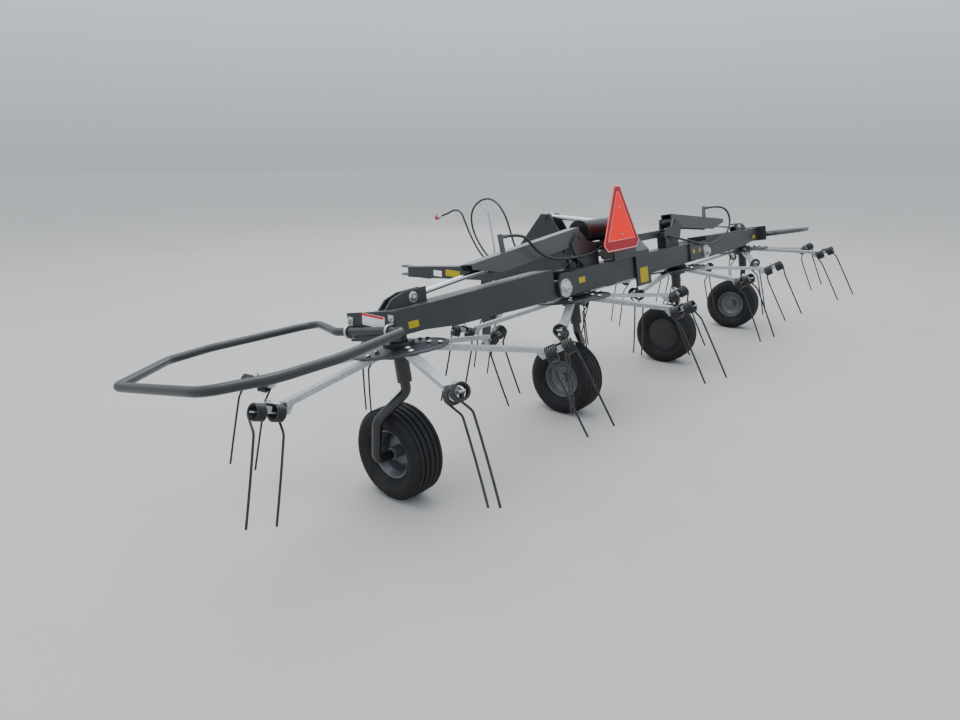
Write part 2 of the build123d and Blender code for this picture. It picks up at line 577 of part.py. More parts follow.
def sign_bracket():
    """Upright plate on the beam that the sign is bolted to, in frame coordinates."""
    foot = box(SIGN_X - 95, SIGN_X + 165, SIGN_REAR + 8, -60, CENTRE_HIGH, CENTRE_HIGH + 8)
    web = box(SIGN_X - 95, SIGN_X + 165, SIGN_REAR, SIGN_REAR + 8, CENTRE_HIGH, SIGN_LOW + 75)
    post = box(SIGN_X - 25, SIGN_X + 25, SIGN_REAR, SIGN_REAR + 8, SIGN_LOW + 70, SIGN_LOW + 250)
    return foot + web + post


def document_tube():
    """Lidded tube clamped on the bridge, in frame coordinates."""
    level = BRIDGE_HIGH + TUBE_RADIUS + 6
    tube = bar_x(0, level, TUBE_RADIUS, TUBE_START + 28, TUBE_END)
    lid = bar_x(0, level, TUBE_RADIUS + 4, TUBE_START, TUBE_START + 30)
    feet = [box(x, x + 26, -24, 24, BRIDGE_HIGH, level - 40) for x in (TUBE_START + 60, TUBE_END - 86)]
    return tube + lid + feet[0] + feet[1]


def drawbar_line(y, front, rear):
    """Level of the drawbar's top or underside at y."""
    return front + (DRAWBAR_FRONT - y) / (DRAWBAR_FRONT - DRAWBAR_REAR) * (rear - front)


def drawbar():
    """Tapered drawbar with the hitch clevis, in ground coordinates."""
    half = DRAWBAR_WIDTH / 2
    beam = plate_x([(DRAWBAR_FRONT, DRAWBAR_TOP_FRONT), (DRAWBAR_FRONT, DRAWBAR_LOW_FRONT),
                    (DRAWBAR_REAR, DRAWBAR_LOW_REAR), (DRAWBAR_REAR, DRAWBAR_TOP_REAR)], -half, half)
    for low in (HITCH_Z - HITCH_GAP / 2 - HITCH_PLATE, HITCH_Z + HITCH_GAP / 2):
        plate = box(-HITCH_WIDTH / 2, HITCH_WIDTH / 2, DRAWBAR_FRONT - 230, HITCH_Y, low, low + HITCH_PLATE)
        plate += Pos(0, HITCH_Y, low + HITCH_PLATE / 2) * Cylinder(HITCH_NOSE, HITCH_PLATE)
        beam += plate
    beam -= Pos(0, HITCH_Y, HITCH_Z) * Cylinder(HITCH_PIN_RADIUS, HITCH_GAP + 4 * HITCH_PLATE)
    return beam


def drawbar_lugs():
    """Lugs in front of the centre beam that the drawbar's rear end is bolted between, in ground coordinates."""
    half = DRAWBAR_WIDTH / 2
    front_y, front_z = to_ground(BEAM_FRONT, BEAM_LOW + 4)
    top_y, top_z = to_ground(BEAM_FRONT, CENTRE_HIGH - 42)
    outline = [(front_y, front_z), (DRAWBAR_REAR + 90, drawbar_line(DRAWBAR_REAR + 90, DRAWBAR_LOW_FRONT, DRAWBAR_LOW_REAR)),
               (DRAWBAR_REAR + 150, drawbar_line(DRAWBAR_REAR + 150, DRAWBAR_TOP_FRONT, DRAWBAR_TOP_REAR)), (top_y, top_z)]
    return plate_x(outline, half, half + 14) + plate_x(outline, -half - 14, -half)


def tower():
    """Two triangular cheeks on the drawbar with the upper link's pin, in ground coordinates."""
    half = DRAWBAR_WIDTH / 2
    low_front = drawbar_line(APEX_Y + 330, DRAWBAR_TOP_FRONT, DRAWBAR_TOP_REAR) - 40
    low_rear = drawbar_line(APEX_Y - 230, DRAWBAR_TOP_FRONT, DRAWBAR_TOP_REAR) - 40
    outline = [(APEX_Y + 330, low_front), (APEX_Y + 330, low_front + 46), (APEX_Y + 40, APEX_Z + 18),
               (APEX_Y - 30, APEX_Z + 18), (APEX_Y - 230, low_rear + 90), (APEX_Y - 230, low_rear)]
    cheeks = plate_x(outline, half, half + CHEEK_SHEET) + plate_x(outline, -half - CHEEK_SHEET, -half)
    return cheeks + bar_x(APEX_Y, APEX_Z, APEX_PIN_RADIUS, -half - 20, half + 20)


def upper_link():
    """Turnbuckle from the tower to the lugs on the bridge, in ground coordinates."""
    mast_y, mast_z = to_ground(MAST_PIN_V, MAST_PIN_W)
    run = Vector(0, APEX_Y - mast_y, APEX_Z - mast_z)
    along = run.normalized()
    start, end = Vector(0, mast_y, mast_z), Vector(0, APEX_Y, APEX_Z)
    link = rod(start + along * 20, end - along * 20, LINK_RADIUS)
    for centre in (start, end):
        link += bar_x(centre.Y, centre.Z, 23, -16, 16)
    for centre in (start, end):
        link -= bar_x(centre.Y, centre.Z, APEX_PIN_RADIUS + RUNNING_GAP, -20, 20)
    return link


def input_gearbox():
    """Gearbox in front of the centre beam with its splined input shaft, in frame coordinates."""
    housing = box(-62, 62, BEAM_FRONT, BEAM_FRONT + 96, CENTRE_HIGH - 20, CENTRE_HIGH + 78)
    housing = fillet(housing.edges().filter_by(Axis.Y), 22)
    level = CENTRE_HIGH + 29
    nose = rod((0, BEAM_FRONT + 90, level), (0, BEAM_FRONT + 128, level), 42)
    shaft = rod((0, BEAM_FRONT + 120, level), (0, BEAM_FRONT + 205, level), 17.4)
    return housing + nose + shaft


def stand_sleeve():
    """Square sleeve of the parking stand on the drawbar's side, in ground coordinates."""
    half = STAND_SLEEVE
    low, high = STAND_SLEEVE_LOW, STAND_TOP
    sleeve = box(STAND_X - half, STAND_X + half, STAND_Y - half, STAND_Y + half, low, high)
    inside = STAND_TUBE + SEAT_GAP
    sleeve -= box(STAND_X - inside, STAND_X + inside, STAND_Y - inside, STAND_Y + inside, low - 5, high + 5)
    arm = box(DRAWBAR_WIDTH / 2, STAND_X - half + 1, STAND_Y - 26, STAND_Y + 26, 560, 620)
    return sleeve + arm


def stand_leg():
    """Parking stand's leg with its foot on the ground, in ground coordinates."""
    half = STAND_TUBE
    tube = box(STAND_X - half, STAND_X + half, STAND_Y - half, STAND_Y + half, STAND_FOOT_SHEET - 1, STAND_TOP - 40)
    foot = box(STAND_X - STAND_FOOT, STAND_X + STAND_FOOT, STAND_Y - STAND_FOOT, STAND_Y + STAND_FOOT, 0, STAND_FOOT_SHEET)
    return tube + foot


def guard_clamps(side):
    """Two U-bolts that hold the bow's straight leg on the wing's end plate, in frame coordinates."""
    face = side * (WING_END + END_PLATE_SHEET)
    reach, spread = side * (2 * GUARD_RADIUS + 5.5), GUARD_RADIUS + 5.5
    bolts = []
    for ahead in CLAMPS_AHEAD:
        path = FilletPolyline((face, ahead, GUARD_LEVEL - spread), (face + reach, ahead, GUARD_LEVEL - spread),
                              (face + reach, ahead, GUARD_LEVEL + spread), (face, ahead, GUARD_LEVEL + spread),
                              radius=spread - 0.5)
        bolts.append(sweep(Plane(origin=path @ 0, z_dir=path % 0) * Circle(5), path=path))
    return Compound(bolts)


def cord(name, points, radius):
    """Round cord along straight runs joined by the largest arcs they leave room for."""
    spots = [Vector(*point) for point in points]
    radii = []
    for before, here, after in zip(spots, spots[1:], spots[2:]):
        turn = (here - before).get_angle(after - here)
        radii.append(0.45 * min((here - before).length, (after - here).length) / tan(radians(turn / 2)))
    path = FilletPolyline(*spots, radius=radii)
    solid = sweep(Plane(origin=path @ 0, z_dir=path % 0) * Circle(radius), path=path)
    print(name, "length", round(path.length), "least radius", round(min(radii)), "volume check",
          round(solid.volume / (pi * radius * radius * path.length), 3))
    return solid


def ferrule(end, towards, length=FERRULE_LENGTH):
    """Crimped sleeve that continues a hose past its end, away from the point towards."""
    start = Vector(*end)
    out = (start - Vector(*towards)).normalized()
    return rod(start, start + out * length, FERRULE_RADIUS)


def tee_block():
    """Feed hose's block on the front of the bridge and the outlet blocks on its rear, in frame coordinates."""
    half = TEE_SIZE / 2
    blocks = box(TEE_LEFT, TEE_RIGHT, BRIDGE_HALF_WIDTH, TEE_V + half, TEE_W - half, TEE_W + half)
    feed = [(x, *to_frame(y, z)) for x, y, z in FEED_HOSE[-2:]]
    blocks += ferrule(feed[1], feed[0])
    for side, hose in ((-1, LEFT_FRAME_HOSE), (1, RIGHT_FRAME_HOSE)):
        low, high = side * REAR_BLOCK_X - 18, side * REAR_BLOCK_X + 18
        blocks += box(low, high, -76, -BRIDGE_HALF_WIDTH, REAR_BLOCK_W - 16, REAR_BLOCK_W + 16)
        blocks += ferrule(hose[-1], hose[-2])
    return blocks


def hose_post():
    """Block on the drawbar and the bent steel rod that carries the hoses, in ground coordinates."""
    top = drawbar_line(1080, DRAWBAR_TOP_FRONT, DRAWBAR_TOP_REAR)
    slope = (DRAWBAR_TOP_REAR - DRAWBAR_TOP_FRONT) / (DRAWBAR_FRONT - DRAWBAR_REAR)
    block = plate_x([(1096, top - 16 * slope), (1096, top + 24), (1058, top + 26), (1058, top + 22 * slope)], -36, 36)
    path = FilletPolyline((0, 1077, top + 20), (0, 1092, 800), (0, 1150, 1040), (0, 1215, 1086), radius=[500, 60])
    rod_up = sweep(Plane(origin=path @ 0, z_dir=path % 0) * Circle(HOLDER_ROD), path=path)
    hook = rod((-26, 1208, 1081), (30, 1208, 1081), HOLDER_ROD)
    return (block + rod_up + hook + ferrule(SUPPLY_HOSE[-1], SUPPLY_HOSE[-2])
            + ferrule(FEED_HOSE[0], FEED_HOSE[1]))


def coupler():
    """Quick coupler with its dust cap on the supply hose, in ground coordinates."""
    start = Vector(*SUPPLY_HOSE[0])
    out = (start - Vector(*SUPPLY_HOSE[1])).normalized()
    body = rod(start, start + out * 50, 12)
    collar = rod(start + out * 24, start + out * 42, 15)
    cap = rod(start + out * 50, start + out * 72, 16)
    return body + collar + cap


def guard(side):
    """Closed safety bow outside one wing, in frame coordinates."""
    points = [(side * out, ahead, 0) for out, ahead, _ in GUARD_POINTS]
    path = FilletPolyline(*points, radius=[radius for _, _, radius in GUARD_POINTS], close=True)
    bow = sweep(Plane(origin=path @ 0, z_dir=path % 0) * Circle(GUARD_RADIUS), path=path)
    leg_x = side * (WING_END + END_PLATE_SHEET + GUARD_RADIUS)
    return Pos(leg_x, 0, GUARD_LEVEL) * Rot(0, side * GUARD_DROOP_DEG, 0) * bow


nodes["centre_beam"] = FRAME * centre_beam() + drawbar_lugs()
nodes["bridge"] = FRAME * (bridge() + tee_block())
nodes["saddle"] = FRAME * saddle()
nodes["sign"] = FRAME * sign()
nodes["sign_bracket"] = FRAME * sign_bracket()
nodes["document_tube"] = FRAME * document_tube()
nodes["hose_post"] = hose_post()
nodes["coupler"] = coupler()
nodes["supply_hose"] = cord("supply_hose", SUPPLY_HOSE, HOSE_RADIUS)
nodes["feed_hose"] = cord("feed_hose", FEED_HOSE, HOSE_RADIUS)
nodes["pull_rope"] = cord("pull_rope", PULL_ROPE, ROPE_RADIUS)
nodes["hose_left"] = FRAME * cord("hose_left", LEFT_ARM_HOSE, HOSE_RADIUS)
nodes["hose_right"] = FRAME * cord("hose_right", RIGHT_ARM_HOSE, HOSE_RADIUS)
nodes["frame_hose_left"] = FRAME * cord("frame_hose_left", LEFT_FRAME_HOSE, HOSE_RADIUS)
nodes["frame_hose_right"] = FRAME * cord("frame_hose_right", RIGHT_FRAME_HOSE, HOSE_RADIUS)
nodes["input_gearbox"] = FRAME * input_gearbox()
nodes["drawbar"] = drawbar() + stand_sleeve()
nodes["tower"] = tower()
nodes["upper_link"] = upper_link()
nodes["stand_leg"] = stand_leg()
for name, side in SIDES.items():
    nodes[f"wing_beam_{name}"] = FRAME * wing_beam(side)
    nodes[f"guard_{name}"] = FRAME * guard(side)
    nodes[f"guard_clamps_{name}"] = FRAME * guard_clamps(side)
    cylinder(name, side)
for i in range(ROTOR_COUNT):
    inner = abs(ROTOR_X[i]) < CENTRE_END
    high = CENTRE_HIGH if inner else WING_HIGH_OUT
    low = BEAM_LOW if inner else WING_LOW_OUT
    rotor(i)
    nodes[f"gearbox_{i + 1}"] = FRAME * gearbox(i, low, high)
    nodes[f"wheel_leg_{i + 1}"] = wheel_leg(i)
    hub = Pos(ROTOR_X[i], WHEEL_AHEAD, TYRE_DIAMETER / 2)
    nodes[f"rim_{i + 1}"] = hub * rim(LEG_SIDE[i])
    nodes[f"tyre_{i + 1}"] = hub * tyre()

os.makedirs("parts", exist_ok=True)
for name, shape in nodes.items():
    export_step(TO_HITCH * shape, f"parts/{name}.step")
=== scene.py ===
"""Looks of a four-rotor hay tedder with spread wings, in metres, origin at the hitch pin."""

import logging
import math
from dataclasses import dataclass, field
from enum import Enum
from typing import Iterable, Sequence

import bmesh
import bpy
from mathutils import Matrix, Vector

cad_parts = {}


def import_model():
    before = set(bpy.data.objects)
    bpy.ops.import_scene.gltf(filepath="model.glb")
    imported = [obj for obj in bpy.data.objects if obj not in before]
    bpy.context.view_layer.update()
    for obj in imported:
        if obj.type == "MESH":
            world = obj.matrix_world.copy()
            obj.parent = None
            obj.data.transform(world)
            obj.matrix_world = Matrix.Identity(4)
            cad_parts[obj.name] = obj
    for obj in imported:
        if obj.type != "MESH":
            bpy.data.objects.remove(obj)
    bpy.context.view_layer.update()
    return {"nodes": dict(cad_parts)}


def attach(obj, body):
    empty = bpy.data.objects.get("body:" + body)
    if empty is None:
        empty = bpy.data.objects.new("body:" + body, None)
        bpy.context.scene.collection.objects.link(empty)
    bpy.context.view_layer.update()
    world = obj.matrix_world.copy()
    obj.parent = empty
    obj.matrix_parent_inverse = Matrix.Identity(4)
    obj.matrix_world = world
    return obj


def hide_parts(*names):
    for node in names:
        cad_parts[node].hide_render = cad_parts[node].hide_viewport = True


LOG = logging.getLogger("tedder")

Triple = tuple[float, float, float]

HITCH_Y = 2.020
HITCH_Z = 0.524
HUB_HEIGHT = 0.674
LEAN = math.radians(10.15)
ROTOR_X = (-1.95, -0.65, 0.65, 1.95)
PHASE_DEG = (3.0, 27.0, 3.0, 27.0)
ARMS = 6
WHEEL_Y = 0.023
WHEEL_RADIUS = 0.203
# Number of the wheel that gets a dark shallow disc over the left face of its rim
DARK_DISC_WHEEL = 3
# v of the rear faces of the wing beams and the hinge ears, X of the wings' end faces
WING_REAR = -0.105
EAR_REAR = -0.122
END_FACE = 2.087
# Turned bodies keep this hairline bore, so that no ring of corners shrinks to a point.
AXIS_GAP = 0.0005


def frame_point(x: float, v: float, w: float) -> Vector:
    """Row-frame point of X, v and w in the leaning frame of the rotors.

    Args:
        x: distance across the machine.
        v: distance forward in the leaning frame.
        w: distance up along the rotor axes from the row of hubs.

    Returns:
        The point in the row frame.
    """
    y = v * math.cos(LEAN) + w * math.sin(LEAN) - HITCH_Y
    z = HUB_HEIGHT - v * math.sin(LEAN) + w * math.cos(LEAN) - HITCH_Z
    return Vector((x, y, z))


AHEAD = frame_point(0, 1, 0) - frame_point(0, 0, 0)


def ground_point(x: float, y: float, z: float) -> Vector:
    """Row-frame point of one measured from the ground below the row of rotors."""
    return Vector((x, y - HITCH_Y, z - HITCH_Z))


def leaning_matrix(x: float = 0.0, v: float = 0.0, w: float = 0.0) -> Matrix:
    """Matrix from the leaning frame, moved to a point of it, to the row frame."""
    return Matrix.Translation(frame_point(x, v, w)) @ Matrix.Rotation(-LEAN, 4, "X")


class Side(Enum):
    """The two wings of the machine."""

    LEFT = -1
    RIGHT = 1

    @property
    def word(self) -> str:
        """Name of the side as the bodies use it."""
        return self.name.lower()

    @property
    def wing(self) -> str:
        """Body of the side's wing."""
        return f"wing_{self.word}"

    @property
    def out(self) -> Vector:
        """Direction from the middle of the machine to the side."""
        return Vector((self.value, 0, 0))


# The side of each wheel on which its leg stands
LEG_SIDES = (Side.LEFT, Side.RIGHT, Side.RIGHT, Side.RIGHT)


class Course(Enum):
    """How a tube runs between its points, by the kind of its spline."""

    STRAIGHT = "POLY"
    SMOOTH = "NURBS"


class Stiffness(Enum):
    """How a cord behaves when it hangs."""

    STIFF = "stiff"
    LIMP = "limp"


class FarEnd(Enum):
    """What a cord's last point is joined to."""

    OBJECT = "object"
    CONNECTOR = "connector"


# Finishes


@dataclass(frozen=True)
class Finish:
    """A procedural surface with mottled colour, uneven gloss and a fine grain."""

    name: str
    colour: Triple
    worn: Triple
    roughness: float = 0.5
    spread: float = 0.08
    metallic: float = 0.0
    patch_scale: float = 6.0
    patch_share: float = 0.55
    grain_scale: float = 220.0
    grain_height: float = 0.0003
    coat: float = 0.0
    # Emission strength in the surface's own colour: painted light that makes a surface glow though it is no
    # lamp.
    painted_glow: float = 0.0
    specular: float = 0.5
    patch_detail: float = 6.0
    patch_roughness: float = 0.62
    ramp_before: float = 0.12
    ramp_after: float = 0.25
    grain_detail: float = 3.0
    bump_strength: float = 0.6

    def texture(self, tree: bpy.types.NodeTree, place: bpy.types.NodeSocket) -> bpy.types.NodeSocket:
        """Pattern that mixes the two colours.

        Args:
            tree: node tree of the material.
            place: socket that gives the surface point.

        Returns:
            The socket of the pattern.
        """
        noise = tree.nodes.new("ShaderNodeTexNoise")
        noise.inputs["Scale"].default_value = self.patch_scale
        noise.inputs["Detail"].default_value = self.patch_detail
        noise.inputs["Roughness"].default_value = self.patch_roughness
        tree.links.new(place, noise.inputs["Vector"])
        return noise.outputs["Fac"]

    def build(self) -> bpy.types.Material:
        """Material of this finish, made once.

        Returns:
            The Blender material.
        """
        label = f"{self.name}_finish"
        found = bpy.data.materials.get(label)
        if found is not None:
            return found
        made = bpy.data.materials.new(label)
        made.use_nodes = True
        tree = made.node_tree
        shader = tree.nodes["Principled BSDF"]
        shader.inputs["Metallic"].default_value = self.metallic
        shader.inputs["Coat Weight"].default_value = self.coat
        shader.inputs["Specular IOR Level"].default_value = self.specular
        shader.inputs["Emission Color"].default_value = (*self.colour, 1.0)
        shader.inputs["Emission Strength"].default_value = self.painted_glow
        place = tree.nodes.new("ShaderNodeTexCoord").outputs["Object"]
        ramp = tree.nodes.new("ShaderNodeValToRGB")
        ramp.color_ramp.elements[0].position = self.patch_share - self.ramp_before
        ramp.color_ramp.elements[0].color = (*self.colour, 1.0)
        ramp.color_ramp.elements[1].position = self.patch_share + self.ramp_after
        ramp.color_ramp.elements[1].color = (*self.worn, 1.0)
        tree.links.new(self.texture(tree, place), ramp.inputs["Fac"])
        tree.links.new(ramp.outputs["Color"], shader.inputs["Base Color"])
        grain = tree.nodes.new("ShaderNodeTexNoise")
        grain.inputs["Scale"].default_value = self.grain_scale
        grain.inputs["Detail"].default_value = self.grain_detail
        tree.links.new(place, grain.inputs["Vector"])
        gloss = tree.nodes.new("ShaderNodeMapRange")
        gloss.inputs["To Min"].default_value = self.roughness - self.spread
        gloss.inputs["To Max"].default_value = self.roughness + self.spread
        tree.links.new(grain.outputs["Fac"], gloss.inputs["Value"])
        tree.links.new(gloss.outputs["Result"], shader.inputs["Roughness"])
        bump = tree.nodes.new("ShaderNodeBump")
        bump.inputs["Strength"].default_value = self.bump_strength
        bump.inputs["Distance"].default_value = self.grain_height
        tree.links.new(grain.outputs["Fac"], bump.inputs["Height"])
        tree.links.new(bump.outputs["Normal"], shader.inputs["Normal"])
        return made


@dataclass(frozen=True)
class ZincFinish(Finish):
    """Galvanised steel with its spangle."""

    def texture(self, tree: bpy.types.NodeTree, place: bpy.types.NodeSocket) -> bpy.types.NodeSocket:
        """Cell pattern of the spangle.

        Args:
            tree: node tree of the material.
            place: socket that gives the surface point.

        Returns:
            The socket of the pattern.
        """
        cells = tree.nodes.new("ShaderNodeTexVoronoi")
        cells.inputs["Scale"].default_value = self.patch_scale
        tree.links.new(place, cells.inputs["Vector"])
        return cells.outputs["Color"]


GRAPHITE = Finish("graphite_paint", (0.017, 0.019, 0.022), (0.026, 0.028, 0.031), 0.40, 0.05, coat=0.10)
PLATE_GREY = Finish("rotor_plate_paint", (0.036, 0.041, 0.048), (0.062, 0.068, 0.075), 0.38, 0.07, coat=0.1)
CHANNEL_GREY = Finish("lock_channel_paint", (0.058, 0.062, 0.067), (0.078, 0.082, 0.086), 0.45, 0.06)
BLACK_PAINT = Finish("black_paint", (0.011, 0.011, 0.012), (0.024, 0.024, 0.023), 0.34, 0.07, coat=0.2)
SPRING_WIRE = Finish("spring_wire", (0.010, 0.010, 0.011), (0.030, 0.028, 0.026), 0.38, 0.08,
                     patch_scale=30.0)
ZINC = ZincFinish("zinc_plate", (0.38, 0.41, 0.435), (0.50, 0.53, 0.555), 0.42, 0.10, metallic=0.75,
                  patch_scale=160.0)
BRIGHT_ZINC = ZincFinish("bright_zinc", (0.50, 0.51, 0.51), (0.64, 0.65, 0.64), 0.32, 0.08, metallic=0.85,
                         patch_scale=160.0)
ROD_CHROME = Finish("rod_chrome", (0.78, 0.79, 0.80), (0.70, 0.70, 0.70), 0.12, 0.04, metallic=1.0)
RIM_SILVER = Finish("rim_silver", (0.125, 0.135, 0.150), (0.095, 0.100, 0.107), 0.36, 0.07, metallic=0.25)
TYRE_RUBBER = Finish("tyre_rubber", (0.009, 0.0095, 0.011), (0.030, 0.028, 0.026), 0.66, 0.12,
                     patch_scale=9.0, patch_share=0.64, grain_scale=420.0, specular=0.32)
TUBE_BLACK = Finish("moulded_black", (0.006, 0.007, 0.009), (0.012, 0.012, 0.013), 0.34, 0.05,
                    specular=0.4)
HOSE_RUBBER = Finish("hose_rubber", (0.012, 0.012, 0.013), (0.032, 0.031, 0.030), 0.48, 0.08,
                     patch_scale=20.0)
ROPE_FIBRE = Finish("rope_fibre", (0.70, 0.70, 0.67), (0.52, 0.51, 0.47), 0.85, 0.08, patch_scale=60.0)
# The orange face glows a little: painted light that stands in for the key light that the upright sign gets
# too little of.
SIGN_ORANGE = Finish("sign_orange", (0.90, 0.016, 0.010), (0.86, 0.014, 0.009), 0.50, 0.05, painted_glow=0.25,
                     specular=0.20)
SIGN_RED = Finish("sign_red", (0.36, 0.003, 0.012), (0.32, 0.003, 0.010), 0.40, 0.05, specular=0.4)
SIGN_LINE = Finish("sign_edge_line", (0.86, 0.42, 0.38), (0.70, 0.30, 0.28), 0.45, 0.05)
LABEL_YELLOW = Finish("label_yellow", (0.42, 0.32, 0.002), (0.34, 0.26, 0.006), 0.40, 0.05,
                      patch_scale=40.0, specular=0.3)
LABEL_WHITE = Finish("label_white", (0.78, 0.79, 0.80), (0.62, 0.63, 0.63), 0.40, 0.05, patch_scale=40.0)
LABEL_RED = Finish("label_red", (0.62, 0.02, 0.025), (0.50, 0.02, 0.025), 0.40, 0.05)
CAP_RED = Finish("cap_red", (0.55, 0.015, 0.02), (0.42, 0.02, 0.02), 0.45, 0.06)
FLOOR_PALE = Finish("floor_pale", (0.44, 0.435, 0.42), (0.41, 0.405, 0.39), 0.9, 0.03, patch_scale=0.8,
                    grain_scale=30.0, grain_height=0.0008)

NODE_FINISHES: dict[str, Finish] = {
    "centre_beam": GRAPHITE, "wing_beam_": GRAPHITE, "bridge": GRAPHITE, "drawbar": GRAPHITE,
    "tower": GRAPHITE, "guard_": GRAPHITE, "rotor_plate_": PLATE_GREY, "lock_channel_": CHANNEL_GREY,
    "saddle": BLACK_PAINT, "sign_bracket": BLACK_PAINT, "wheel_leg_": BLACK_PAINT, "stand_leg": BLACK_PAINT,
    "cylinder_barrel_": BLACK_PAINT, "gearbox_": BLACK_PAINT, "input_gearbox": BLACK_PAINT,
    "upper_link": BRIGHT_ZINC, "coupler": BRIGHT_ZINC, "guard_clamps_": BRIGHT_ZINC, "hose_post": ZINC,
    "tine_arms_": ZINC, "cylinder_rod_": ROD_CHROME, "rim_": RIM_SILVER, "document_tube": TUBE_BLACK,
    "sign": SIGN_ORANGE,
}


# Mesh helpers


def add_object(name: str, data: bpy.types.ID) -> bpy.types.Object:
    """Puts data into the scene.

    Args:
        name: name of the object.
        data: its mesh, curve, light or camera.

    Returns:
        The new object.
    """
    made = bpy.data.objects.new(name, data)
    bpy.context.scene.collection.objects.link(made)
    return made


def mesh_piece(name: str, shape: bmesh.types.BMesh, finish: Finish, body: str,
               smooth_deg: float = 35.0) -> bpy.types.Object:
    """Object of a finished shape that rides on a body.

    Args:
        name: name of the piece.
        shape: its mesh in the row frame; it is freed.
        finish: its finish.
        body: body that it moves with.
        smooth_deg: edges flatter than this are shaded smooth.

    Returns:
        The new object.
    """
    data = bpy.data.meshes.new(name)
    bmesh.ops.recalc_face_normals(shape, faces=shape.faces)
    shape.to_mesh(data)
    shape.free()
    piece = add_object(name, data)
    data.materials.append(finish.build())
    data.shade_smooth()
    data.set_sharp_from_angle(angle=math.radians(smooth_deg))
    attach(piece, body)
    LOG.info("%s on %s", name, body)
    return piece


def add_lathe(shape: bmesh.types.BMesh, profile: Sequence[tuple[float, float]], place: Matrix,
              segments: int) -> None:
    """Adds a closed body turned about the local Z axis.

    Args:
        shape: mesh that receives it.
        profile: radius and height of each point, round a closed outline.
        place: where the local axis lies.
        segments: number of steps round the axis.
    """
    rings = []
    for step in range(segments):
        turn = 2 * math.pi * step / segments
        rings.append([shape.verts.new(place @ Vector((r * math.cos(turn), r * math.sin(turn), h)))
                      for r, h in profile])
    count = len(profile)
    for step in range(segments):
        here, after = rings[step], rings[(step + 1) % segments]
        for k in range(count):
            shape.faces.new((here[k], after[k], after[(k + 1) % count], here[(k + 1) % count]))


def add_prism(shape: bmesh.types.BMesh, outline: Sequence[tuple[float, float]], low: float, high: float,
              place: Matrix, chamfer: float = 0.0) -> None:
    """Adds a prism along the local Z axis, with its top edge broken.

    Args:
        shape: mesh that receives it.
        outline: X and Y of each corner in order.
        low: height of the bottom.
        high: height of the top.
        place: where the local axes lie.
        chamfer: how far the top edge is cut back.
    """
    count = len(outline)
    middle = Vector((sum(x for x, _ in outline) / count, sum(y for _, y in outline) / count))

    def ring(height: float, inset: float) -> list[bmesh.types.BMVert]:
        """Corners at one height, drawn in towards the middle.

        Args:
            height: height of the corners.
            inset: how far they are drawn in.

        Returns:
            The new corners in order.
        """
        made = []
        for x, y in outline:
            out = Vector((x, y)) - middle
            spot = middle + out * max(0.0, 1 - inset / max(out.length, 1e-6))
            made.append(shape.verts.new(place @ Vector((spot.x, spot.y, height))))
        return made

    levels = [ring(low, 0.0), ring(high - chamfer, 0.0)]
    if chamfer > 0:
        levels.append(ring(high, chamfer))
    for below, above in zip(levels, levels[1:]):
        for k, corner in enumerate(below):
            after = (k + 1) % count
            shape.faces.new((corner, below[after], above[after], above[k]))
    shape.faces.new(levels[-1])
    shape.faces.new(list(reversed(levels[0])))


def add_bolt(shape: bmesh.types.BMesh, place: Matrix, across: float, height: float) -> None:
    """Adds a hexagon head on its washer with the shank's end, standing on the local XY plane.

    Args:
        shape: mesh that receives it.
        place: where the washer lies.
        across: width over the flats.
        height: height of the head.
    """
    base = height * 0.22
    washer, washer_top = across * 0.68, across * 0.64
    add_lathe(shape, [(AXIS_GAP, 0.0), (washer, 0.0), (washer, base * 0.7), (washer_top, base),
                      (AXIS_GAP, base)], place, 24)
    corner = across / math.sqrt(3)
    hexagon = [(corner * math.cos(k * math.pi / 3), corner * math.sin(k * math.pi / 3)) for k in range(6)]
    add_prism(shape, hexagon, base, base + height, place, across * 0.06)
    foot, shoulder, end = base + height * 0.9, base + height * 1.25, base + height * 1.32
    shank, shank_end = across * 0.29, across * 0.25
    add_lathe(shape, [(AXIS_GAP, foot), (shank, foot), (shank, shoulder), (shank_end, end), (AXIS_GAP, end)],
              place, 20)


def facing(spot: Vector, normal: Vector) -> Matrix:
    """Matrix with its Z axis along a normal and its Y axis as near as it can be to upright.

    Args:
        spot: origin of the local axes.
        normal: direction of the local Z axis.

    Returns:
        The matrix.
    """
    z_axis = normal.normalized()
    x_axis = Vector((0, 0, 1)).cross(z_axis)
    if x_axis.length < 1e-4:
        x_axis = Vector((1, 0, 0)).cross(z_axis)
    x_axis.normalize()
    y_axis = z_axis.cross(x_axis)
    return Matrix.Translation(spot) @ Matrix((x_axis, y_axis, z_axis)).transposed().to_4x4()


def tube_curve(name: str, routes: Iterable[Sequence[Vector]], course: Course, radius: float, sides: int
               ) -> bpy.types.Curve:
    """Curve with a round section along given points.

    Args:
        name: name of the curve.
        routes: points of each spline.
        course: how it runs between the points.
        radius: radius of the section.
        sides: resolution of the section.

    Returns:
        The curve.
    """
    curve = bpy.data.curves.new(name, "CURVE")
    curve.dimensions = "3D"
    curve.bevel_depth = radius
    curve.bevel_resolution = sides
    curve.use_fill_caps = True
    for route in routes:
        spline = curve.splines.new(course.value)
        spline.points.add(len(route) - 1)
        for point, spot in zip(spline.points, route):
            point.co = (*spot, 1.0)
    return curve


def wire_mesh(name: str, routes: Iterable[Sequence[Vector]], radius: float) -> bpy.types.Mesh:
    """Mesh of round wires along given lines.

    Args:
        name: name of the mesh.
        routes: points of each wire.
        radius: radius of the wire.

    Returns:
        The mesh.
    """
    curve = tube_curve(name + "_line", routes, Course.STRAIGHT, radius, 3)
    carrier = add_object(curve.name, curve)
    bpy.context.view_layer.update()
    made = bpy.data.meshes.new_from_object(carrier.evaluated_get(bpy.context.evaluated_depsgraph_get()))
    made.name = name
    bpy.data.objects.remove(carrier)
    bpy.data.curves.remove(curve)
    return made


# Sub-assemblies


